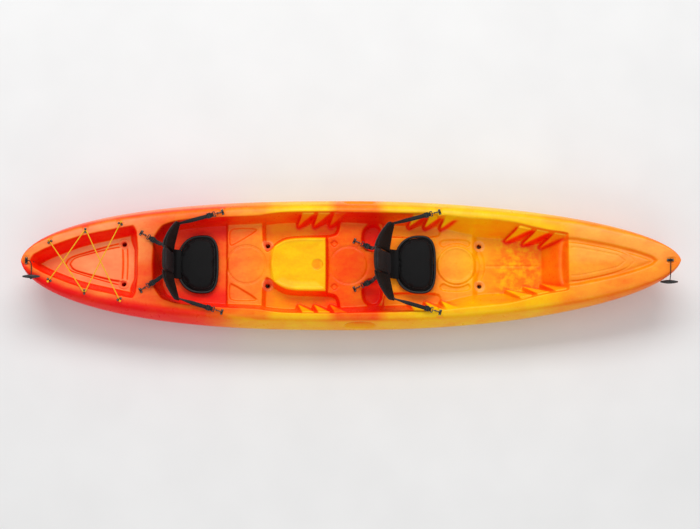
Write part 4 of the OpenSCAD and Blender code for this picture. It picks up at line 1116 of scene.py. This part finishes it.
def paint_hull(mesh):
    """Writes each point's place between red and yellow, with painted light and shade in it, how much painted
    sheen it has, and how mottled it is.
    """
    x, y, z = places(mesh).T
    normal = np.empty(len(x) * 3)
    mesh.vertex_normals.foreach_get("vector", normal)
    up = normal.reshape(-1, 3)[:, 2]
    rails, floors, walls, sides, painted_sheen = (np.interp(x, TONES[:, 0], TONES[:, i]) for i in range(1, 6))
    starboard = smooth_step(30, -30, y)
    stern = smooth_step(-560, -900, x)
    high = smooth_step(-60, -14, z - deck(x))
    # Painted shade: aft, the sides' deep red reaches 46 mm further in over the starboard rail
    edge = np.abs(y) - crest(x) + 46 * starboard * stern
    underside = smooth_step(-0.1, -0.5, up) * (z < 110)
    outer = np.maximum(smooth_step(-4, 14 + 20 * stern, edge), underside)
    ridge, painted_ridge_shadow = ridge_cover(x, y)
    # Painted shadow round the foot ridges' outlines, on low parts only, weaker on the starboard side
    painted_ridge_shadow = painted_ridge_shadow * (1 - 0.75 * starboard) * smooth_step(-30, -60, z - deck(x))
    # Painted shade: the starboard rails a little redder
    tone = mix(paint_floors(floors, x, y, z), rails - STARBOARD_PAINTED_SHADE * starboard, high)
    # Steep walls take the walls' tone: partly pigment, partly painted shade
    tone = mix(tone, walls, smooth_step(0.86, 0.5, up) * WALL_PIGMENT_AND_SHADE_SHARE)
    # Painted shadow next to the foot ridges
    tone = mix(tone, RIDGE_PAINTED_SHADOW_TONE, painted_ridge_shadow)
    # Ridge tops take the rails' yellow; on the port side aft less of it, as painted shade
    lit = mix(RIDGE_SHARE, REAR_PORT_RIDGE_PAINTED_SHADE_SHARE, (1 - starboard) * (x < 0))
    tone = mix(tone, mix(walls, rails, lit), ridge * smooth_step(0.3, 0.5, up))
    # Painted light: the upper port sides take the rails' paler tone
    port_painted_light = (1 - starboard) * smooth_step(0, 60, z - seam(x))
    tone = mix(tone, mix(sides, rails, PORT_SIDE_PAINTED_LIGHT_SHARE * port_painted_light), outer)
    # Painted sheen: pale peach painted on upward flats, less on high parts and least on the starboard ones
    painted_sheen = painted_sheen * smooth_step(0.8, 0.97, up) * (1 - outer) * (1 - (0.35 + 0.4 * starboard) * high)
    # Painted highlight on the upper port sides aft, and on the ring round each scupper's dish
    painted_sheen = np.maximum(painted_sheen + PORT_STERN_PAINTED_HIGHLIGHT * outer * port_painted_light * stern, BOSS_PAINTED_HIGHLIGHT * scupper_bosses(x, y, z))
    mottle = MOTTLE * smooth_step(880, 960, x) * smooth_step(1220, 1180, x) * smooth_step(140, 122, z)
    for name, values in (("tone", tone), ("painted_sheen", painted_sheen), ("mottle", mottle)):
        mesh.attributes.new(name, "FLOAT", "POINT").data.foreach_set("value", values.astype(np.float32))


PLUG_HEIGHT = 288
PLUG_RECESS_R = 24
PLUG_RECESS_X = (-2100, -1983)
SHARP_ANGLE = 60


def make_hull():
    hull = mesh_object("hull_moulding", *stacked(hull_rings()), HULL_LOOK)
    cutters = [
        cylinder((x, side * SCUPPER_Y, -20), (x, side * SCUPPER_Y, floor + 40), SCUPPER_R)
        for x, floor in SCUPPERS for side in SIDES.values()
    ]
    outside, end = ((x, 0, PLUG_HEIGHT) for x in PLUG_RECESS_X)
    cutters.append(cylinder(outside, end, PLUG_RECESS_R, 64))
    cut(hull, cutters)
    hull.data.shade_smooth()
    hull.data.set_sharp_from_angle(angle=math.radians(SHARP_ANGLE))
    paint_hull(hull.data)
    keep(hull, "hull", "moulded_hull", "hull")


make_hull()


# Clip-on seats: place of the hinge along the hull, height of the floor, and lean of the back
SEATS = {"rear": (-1100, REAR_FLOOR, 6.5), "front": (264, FRONT_FLOOR, 19.5)}
HINGE_RISE = 30
PAD_LENGTH = 272
PAD_WIDTH = 368
PAD_AFT = 164
PAD_HEIGHT = 44
PAD_GAP = 8
PAD_CLEAR = 0.5
PAD_DOME = 6
PAD_HOLLOW = 12
PAD_POINTS = 96
PAD_SWELL = 9
PAD_SEAM_INSET = 24
PAD_SEAM_DEPTH = 4.5
PAD_BINDING_R = 8
# The pad's rings before it is filled: share of its outline, and share of its height
PAD_RINGS = [
    (0.90, 0.02), (0.95, 0.10), (0.975, 0.34), (0.955, 0.58), (0.90, 0.72), (0.76, 0.82), (0.45, 0.92),
    (0.15, 0.96),
]
PANEL_HALF = 78
PANEL_LOW = 8
PANEL_HIGH = 300
PANEL_BACK = -28
PANEL_FRONT = -2
PANEL_MIDDLE = (PANEL_BACK + PANEL_FRONT) / 2
PANEL_SWELL = 6
PANEL_BINDING_R = 5
# The back panel's rings before it is filled: share of its outline, and how far forward of its middle
PANEL_RINGS = [(0.80, -10), (0.93, -8.5), (0.965, -4), (0.975, 0), (0.965, 4), (0.93, 8.5), (0.80, 10)]
FLAP_HALF = 92
FLAP_THICK = 4
FLAP_HIGH = 62
WING_REACH = 246
WING_HIGH = (218, 58)
WING_THICK = (17, 9)
WING_TILT = (0.10, 0.42)
WING_SWELL = 5
WING_BINDING_R = 4
VOXEL = 5
STITCH_PITCH = 8
STITCH = 5
THREAD_R = 0.8
THREAD_END_R = 0.3


def leaned(seat, points):
    """Points of a seat back, from its hinge's own frame into the shared one."""
    x, floor, lean = SEATS[seat]
    turn = math.radians(lean)
    p = np.asarray(points, float)
    return np.stack([
        x + p[..., 0] * math.cos(turn) - p[..., 2] * math.sin(turn), p[..., 1],
        floor + HINGE_RISE + p[..., 0] * math.sin(turn) + p[..., 2] * math.cos(turn),
    ], -1)


def stuffed(name, rings, look, cap, finish_shape=lambda points: points):
    """A cushion: remeshed evenly, filled by cloth pressure up to a cap, then sewn by finish_shape."""
    made = mesh_object(name, *stacked(rings), look)
    bpy.context.view_layer.objects.active = made
    face_out(made.data)
    made.data.remesh_voxel_size = VOXEL * MM
    bpy.ops.object.voxel_remesh()
    start = places(made.data)
    swollen = blown_up(made)
    move = swollen - start
    size = np.linalg.norm(move, axis=1)[:, None]
    move_to(made.data, finish_shape(start + move * np.minimum(1, cap / np.maximum(size, 1e-6))))
    step = made.modifiers.new("smooth", "SUBSURF")
    step.levels = 1
    bpy.ops.object.modifier_apply(modifier=step.name)
    made.data.shade_smooth()
    return made


def blown_up(made):
    cloth = made.modifiers.new("fill", "CLOTH")
    cloth.settings.quality = 5
    cloth.settings.mass = 0.3
    cloth.settings.use_pressure = True
    cloth.settings.uniform_pressure_force = 4
    cloth.settings.effector_weights.gravity = 0
    for step in range(1, 21):
        bpy.context.scene.frame_set(step)
    shaped = made.evaluated_get(bpy.context.evaluated_depsgraph_get())
    found = places(shaped.data)
    made.modifiers.remove(cloth)
    bpy.context.scene.frame_set(1)
    return found


# Corners of a strap's section, as shares of its half width and half thickness
RIBBON_SECTION = [(-1, -0.3), (-0.96, -1), (0.96, -1), (1, -0.3), (1, 0.3), (0.96, 1), (-0.96, 1), (-1, 0.3)]


def ribbon(path, width_way, half_width, thick, lift=0.0):
    """Points and faces of flat webbing along a path, and its lay for the weave."""
    ahead = directions(path)
    wide = width_way - ahead * np.sum(width_way * ahead, 1)[:, None]
    wide = wide / np.linalg.norm(wide, axis=1)[:, None]
    out = np.cross(ahead, wide)
    out = np.where(out[:, 2:3] < 0, -out, out)
    rings = np.stack([
        path + wide * (a * half_width) + out * (b * thick / 2 + lift) for a, b in RIBBON_SECTION
    ], 1)
    lay = [(run, a * half_width, 0) for run in run_along(path) for a, _ in RIBBON_SECTION]
    return *stacked(rings), lay


def woven(name, points, faces, lay, look):
    """A mesh of webbing or cloth, with its lay written on it."""
    made = mesh_object(name, points, faces, look)
    face_out(made.data)
    corners = np.empty(len(made.data.loops), int)
    made.data.loops.foreach_get("vertex_index", corners)
    write_weave(made.data, np.array(lay)[corners])
    return made


def surface_of(made):
    """The mesh's surface, for finding the nearest place on it."""
    bm = bmesh.new()
    bm.from_mesh(made.data)
    tree = BVHTree.FromBMesh(bm)
    bm.free()
    return tree


def hug(surface, path):
    return np.array([surface.find_nearest(Vector(place) * MM)[0] for place in path]) / MM


def stitch_row(name, surface, path, body, slot):
    """A row of short stitches in thread, laid on a cushion along a path."""
    path = evenly(path, STITCH_PITCH)
    turns = full_turn(6)
    points = []
    faces = []
    for place, way in zip(path, directions(path)):
        rings = []
        for ahead, radius in ((-STITCH / 2, THREAD_END_R), (0, THREAD_R), (STITCH / 2, THREAD_END_R)):
            spot, normal, _, _ = surface.find_nearest(Vector(place + way * ahead) * MM)
            side = np.cross(way, normal)
            rings.append([np.array(spot) / MM + radius * (math.cos(a) * side + math.sin(a) * np.array(normal))
                          for a in turns])
        more, more_faces = stacked(rings)
        faces += [[i + len(points) for i in face] for face in more_faces]
        points += list(more)
    made = mesh_object(name, points, faces, THREAD_LOOK)
    face_out(made.data)
    keep(made, body, slot)


def pad_outline(share):
    """The pad in plan: a rounded aft end, and a wide front with a hollow in its front edge."""
    angle = full_turn(PAD_POINTS)
    fore = np.maximum(np.cos(angle), 0)
    aft = np.maximum(-np.cos(angle), 0)
    x = fore ** 0.68 * (PAD_LENGTH - PAD_AFT) - PAD_HOLLOW * fore ** 5 - aft ** 0.8 * PAD_AFT
    y = signed_power(np.sin(angle), 0.95) * PAD_WIDTH / 2
    return np.stack([x * share + PAD_AFT - PAD_LENGTH / 2, y * share], 1)


def make_pad(seat):
    x, floor, _ = SEATS[seat]
    centre = x + PAD_GAP + PAD_LENGTH / 2
    base = floor + PAD_CLEAR

    def ring(share, height):
        level = np.full(PAD_POINTS, base + height * PAD_HEIGHT)
        return np.column_stack([pad_outline(share) + (centre, 0), level])

    def sew(points):
        depth = inside(points[:, 0], points[:, 1], ring(1, 0)[:, :2])
        on_top = smooth_step(base + 18, base + 28, points[:, 2])
        sewn = PAD_SEAM_DEPTH * hump(depth - PAD_SEAM_INSET, 5) * on_top
        points[:, 2] = np.clip(points[:, 2] - sewn, base, base + PAD_HEIGHT + PAD_DOME)
        return points

    rings = [ring(share, height) for share, height in PAD_RINGS]
    pad = stuffed(seat + "_seat_cushion", rings, PAD_LOOK, PAD_SWELL, sew)
    stitch_row(seat + "_seat_cushion_stitches", surface_of(pad), ring(0.87, 1), "hull", "seat_fabric")
    keep(pad, "hull", "seat_fabric", seat + "_seat_pad")
    binding = tube(seat + "_seat_cushion_binding", ring(0.965, 0.5), PAD_BINDING_R, PIPING_LOOK, closed=True)
    keep(binding, "hull", "seat_fabric")
    make_flap(seat, centre - PAD_LENGTH / 2, base)


def make_flap(seat, aft, base):
    """The fabric that joins the pad to the foot of the back."""
    back = leaned(seat, (PANEL_FRONT - 6, 0, FLAP_HIGH))
    route = [(aft + 30, 0, base + 33), (aft + 12, 0, base + 35), (aft - 3, 0, base + 42),
             (mix(aft, back[0], 0.8), 0, mix(base + 40, back[2], 0.55)), tuple(back)]
    path = smooth_path(route, 4)
    across = np.tile((0.0, 1.0, 0.0), (len(path), 1))
    made = woven(seat + "_seat_flap", *ribbon(path, across, FLAP_HALF, FLAP_THICK), PAD_LOOK)
    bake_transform(made)


def panel_outline(wide, high):
    """The back panel seen from the front, at a share of its width and of its height."""
    angle = full_turn(80)
    y = signed_power(np.cos(angle), 0.3) * PANEL_HALF
    z = signed_power(np.sin(angle), 0.3) * (PANEL_HIGH - PANEL_LOW) / 2
    return np.stack([y * wide, z * high + (PANEL_HIGH + PANEL_LOW) / 2], 1)


def make_back(seat):
    body = seat + "_back"

    def ring(wide, high, forward):
        outline = panel_outline(wide, high)
        return leaned(seat, np.column_stack([np.full(len(outline), forward), outline]))

    rings = [ring(share, mix(share, 1, 0.5), PANEL_MIDDLE + forward) for share, forward in PANEL_RINGS]
    panel = stuffed(seat + "_seat_back_panel", rings, BACK_LOOK, PANEL_SWELL)
    row = ring(0.82, 0.92, PANEL_FRONT + 4)
    stitch_row(seat + "_seat_back_stitches", surface_of(panel), row, body, "seat_fabric")
    keep(panel, body, "seat_fabric", seat + "_seat_back")
    edge = ring(0.985, 0.992, PANEL_MIDDLE)
    binding = tube(seat + "_seat_back_binding", edge, PANEL_BINDING_R, PIPING_LOOK, closed=True)
    keep(binding, body, "seat_fabric")
    for side, sign in SIDES.items():
        make_wing(seat, side, sign)


def wing_middle(t):
    """The wing's middle line: it sweeps forward and down as it reaches out."""
    return np.stack([mix(-13, 42, t ** 1.7), mix(PANEL_HALF - 8, WING_REACH, t), mix(165, 140, t ** 1.4)], -1)


def wing_height(t):
    return mix(*WING_HIGH, t ** 1.2)


def wing_tilt(t):
    """How far the wing leans back for each step up."""
    return mix(*WING_TILT, t)


def wing_ring(t):
    """The wing's section at a share of its reach."""
    turn = full_turn(48)
    ahead = wing_middle(min(t + 0.01, 1)) - wing_middle(max(t - 0.01, 0))
    across = np.array([ahead[1], -ahead[0], 0]) / np.hypot(ahead[0], ahead[1])
    shrink = 1 - 0.2 * smooth_step(0.92, 1, t)
    thick = mix(*WING_THICK, t) * signed_power(np.cos(turn), 0.6) / 2
    high = wing_height(t) * 0.96 * shrink * signed_power(np.sin(turn), 0.75) / 2
    return wing_middle(t) + thick[:, None] * across + high[:, None] * (-wing_tilt(t), 0, 1)


def wing_loop(start, end, share):
    """The wing's edge, or a smaller copy of it: out along its top and back along its foot."""
    t = np.linspace(0, 1, 30)
    half = share * wing_height(t)[:, None] / 2 * np.column_stack([-wing_tilt(t), 0 * t, 0 * t + 1])
    middle = wing_middle(mix(start, end, t))
    return np.vstack([middle + half, (middle - half)[::-1]])


def make_wing(seat, side, sign):
    body = seat + "_back"
    flip = (1, sign, 1)
    rings = [leaned(seat, wing_ring(t) * flip) for t in np.linspace(0, 1, 25)]
    wing = stuffed(f"{seat}_seat_wing_pad_{side}", rings, WING_LOOK, WING_SWELL)
    surface = surface_of(wing)
    keep(wing, body, "wing_fabric", f"{seat}_seat_wing_{side}")
    edge = evenly(leaned(seat, wing_loop(0, 1, 1) * flip), 4)
    path = softened(hug(surface, edge), 4, 4)
    keep(tube(f"{seat}_seat_wing_binding_{side}", path, WING_BINDING_R, PIPING_LOOK), body, "wing_fabric")
    inset = leaned(seat, (wing_loop(0.12, 0.93, 0.76) + (12, 0, 0)) * flip)
    stitch_row(f"{seat}_seat_wing_stitches_{side}", surface, inset, body, "wing_fabric")


# Straps: where each is sewn to the back, in the hinge's own frame, and its run from the hook on its eye
ANCHORS = {"aft": (-28.5, 86, 186), "side": (51.75, 236, 140)}
STRAP_END = -62.296
STRAP_LEVEL = 15.7
STRAP_STRAIGHT = 56
STRAP_WIDTH = 25
STRAP_THICK = 2.4
STRAP_SAG = 4
STRAP_STEP = 4
STRAP_TURN = 0.68
TAIL_START = 46
TAIL_LENGTH = 92
TAIL_WAVE = 3
TAIL_GAP = 0.6


def eye_point(eye, yaw, run, rise):
    turn = math.radians(yaw)
    return np.array(eye) + (run * math.cos(turn), run * math.sin(turn), rise)


def make_strap(seat, kind, side, sign):
    """A strap that lies flat at its hook and turns on edge at the back, with its loose tail on top."""
    eye, yaw = STRAP_EYES[seat, kind]
    end = eye_point(eye, yaw, STRAP_END, STRAP_LEVEL)
    straight = eye_point(eye, yaw, STRAP_END - STRAP_STRAIGHT, STRAP_LEVEL)
    sewn = leaned(seat, ANCHORS[kind])
    sag = (straight + sewn) / 2 - (0, 0, STRAP_SAG)
    path = smooth_path([end, straight, sag, sewn], STRAP_STEP)
    share = np.linspace(0, 1, len(path))
    level = np.cross(directions(path), (0, 0, 1))
    turned = STRAP_TURN * math.pi / 2 * smooth_step(0.45, 0.95, share)[:, None]
    width_way = level * np.cos(turned) + np.array((0, 0, 1)) * np.sin(turned)
    points, faces, weave = ribbon(path, width_way, STRAP_WIDTH / 2, STRAP_THICK)
    first = int(TAIL_START / STRAP_STEP)
    tail = path[first:first + int(TAIL_LENGTH / STRAP_STEP)]
    rise = TAIL_WAVE * np.sin(np.linspace(0, math.pi, len(tail))) ** 2
    more, more_faces, more_weave = ribbon(
        tail + np.outer(rise, (0, 0, 1)), width_way[first:first + len(tail)], STRAP_WIDTH / 2 - 0.5,
        STRAP_THICK, STRAP_THICK + TAIL_GAP,
    )
    faces = faces + [[i + len(points) for i in face] for face in more_faces]
    points = np.vstack([points, more]) * (1, sign, 1)
    made = woven(f"{seat}_seat_{kind}_webbing_{side}", points, faces, weave + more_weave, WEBBING_LOOK)
    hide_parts(f"{seat}_seat_{kind}_strap_{side}")
    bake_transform(made)


for seat in SEATS:
    make_pad(seat)
    make_back(seat)
    for kind in ANCHORS:
        for side, sign in SIDES.items():
            make_strap(seat, kind, side, sign)


# Tank well bungees: eye to guide to eye, crossing each other over the well
BUNGEE_R = 3.5
BUNGEE_KNOT = (8, 3.2)
BUNGEE_ROUTE = [
    (-1877, 130.9, 346.5), (-1869, 119.4, 343.2), (-1786.1, 0, 338.35), (-1659.6, -189.1, 330.5),
    (-1656.4, -192.2, 330.5), (-1652, -193.35, 330.5), (-1647.6, -192.2, 330.5), (-1644.4, -189.1, 330.5),
    (-1555, 0, 325.8), (-1436, 237.1, 320.1), (-1429.7, 249.6, 322.2),
]
# Points of the route where the port cord lies over the starboard one, or under it
CROSS_LIFT = {2: 3.9, 8: -3.9}


def make_bungee(side, sign):
    route = [(x, y * sign, z + sign * CROSS_LIFT.get(i, 0)) for i, (x, y, z) in enumerate(BUNGEE_ROUTE)]
    path = softened(route, 3, 2)
    keep(tube("bungee_cord_" + side, path, BUNGEE_R, BUNGEE_LOOK), "hull", "bungee", "bungee_" + side)
    for end, centre, before in (("aft", path[0], path[4]), ("fore", path[-1], path[-5])):
        made = knot(f"bungee_knot_{end}_{side}", centre, centre - before, *BUNGEE_KNOT, BUNGEE_LOOK)
        keep(made, "hull", "bungee", "bungee_knots")


for side, sign in SIDES.items():
    make_bungee(side, sign)


# Fittings that keep their CAD shapes, by a word in the node's name
FITTING_LOOKS = {
    "drain_socket": BLACK_LOOK, "drain_gasket": RUBBER_LOOK, "drain_plug": BLACK_LOOK,
    "strap_pad_eyes": BLACK_LOOK, "bungee_eyes": BLACK_LOOK, "bow_carry_eye": BLACK_LOOK,
    "stern_carry_eye": BLACK_LOOK, "pad_eye_rivets": RIVET_LOOK, "bungee_eye_rivets": RIVET_LOOK,
    "carry_eye_rivets": RIVET_LOOK, "bow_toggle": TOGGLE_LOOK, "stern_toggle": TOGGLE_LOOK,
    "buckles": BLACK_LOOK, "hooks": HOOK_LOOK, "gate": HOOK_LOOK,
}
for node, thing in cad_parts.items():
    for word, look in FITTING_LOOKS.items():
        if word in node:
            for place in thing.material_slots:
                place.material = look


# Floor and light
FLOOR_HALF = 30000
FLOOR_COLOURS = [(0.3, (0.80, 0.80, 0.80)), (0.7, (0.83, 0.83, 0.83))]
WORLD_LIGHT = 0.58
# Each lamp's place, target, size in metres, and power
LAMPS = {
    "key": ((-0.4, 7.6, 8.8), (0, 0, 0.2), (12.0, 4.0), 860),
    "fill": ((0, -6.0, 6.0), (0, -0.5, 0), (10.0, 3.0), 90),
}


def make_floor():
    look = Shader("floor_look", Roughness=0.9, Specular_IOR_Level=0.2)
    look.colour(look.ramp(look.noise(2, 2), FLOOR_COLOURS))
    corners = [(a * FLOOR_HALF, b * FLOOR_HALF, 0) for a, b in ((-1, -1), (1, -1), (1, 1), (-1, 1))]
    mesh_object("floor", corners, [[0, 1, 2, 3]], look.material)


def add_lamp(name, place, target, size, watts):
    lamp = bpy.data.objects.new(name, bpy.data.lights.new(name, "AREA"))
    lamp.data.shape = "RECTANGLE"
    lamp.data.size, lamp.data.size_y = size
    lamp.data.energy = watts
    lamp.location = place
    lamp.rotation_euler = (Vector(target) - Vector(place)).to_track_quat("-Z", "Y").to_euler()
    bpy.context.collection.objects.link(lamp)


def light_scene():
    world = bpy.data.worlds.new("studio")
    world.use_nodes = True
    background = world.node_tree.nodes["Background"]
    background.inputs["Color"].default_value = (1, 1, 1, 1)
    background.inputs["Strength"].default_value = WORLD_LIGHT
    bpy.context.scene.world = world
    for name, settings in LAMPS.items():
        add_lamp(name, *settings)


make_floor()
light_scene()
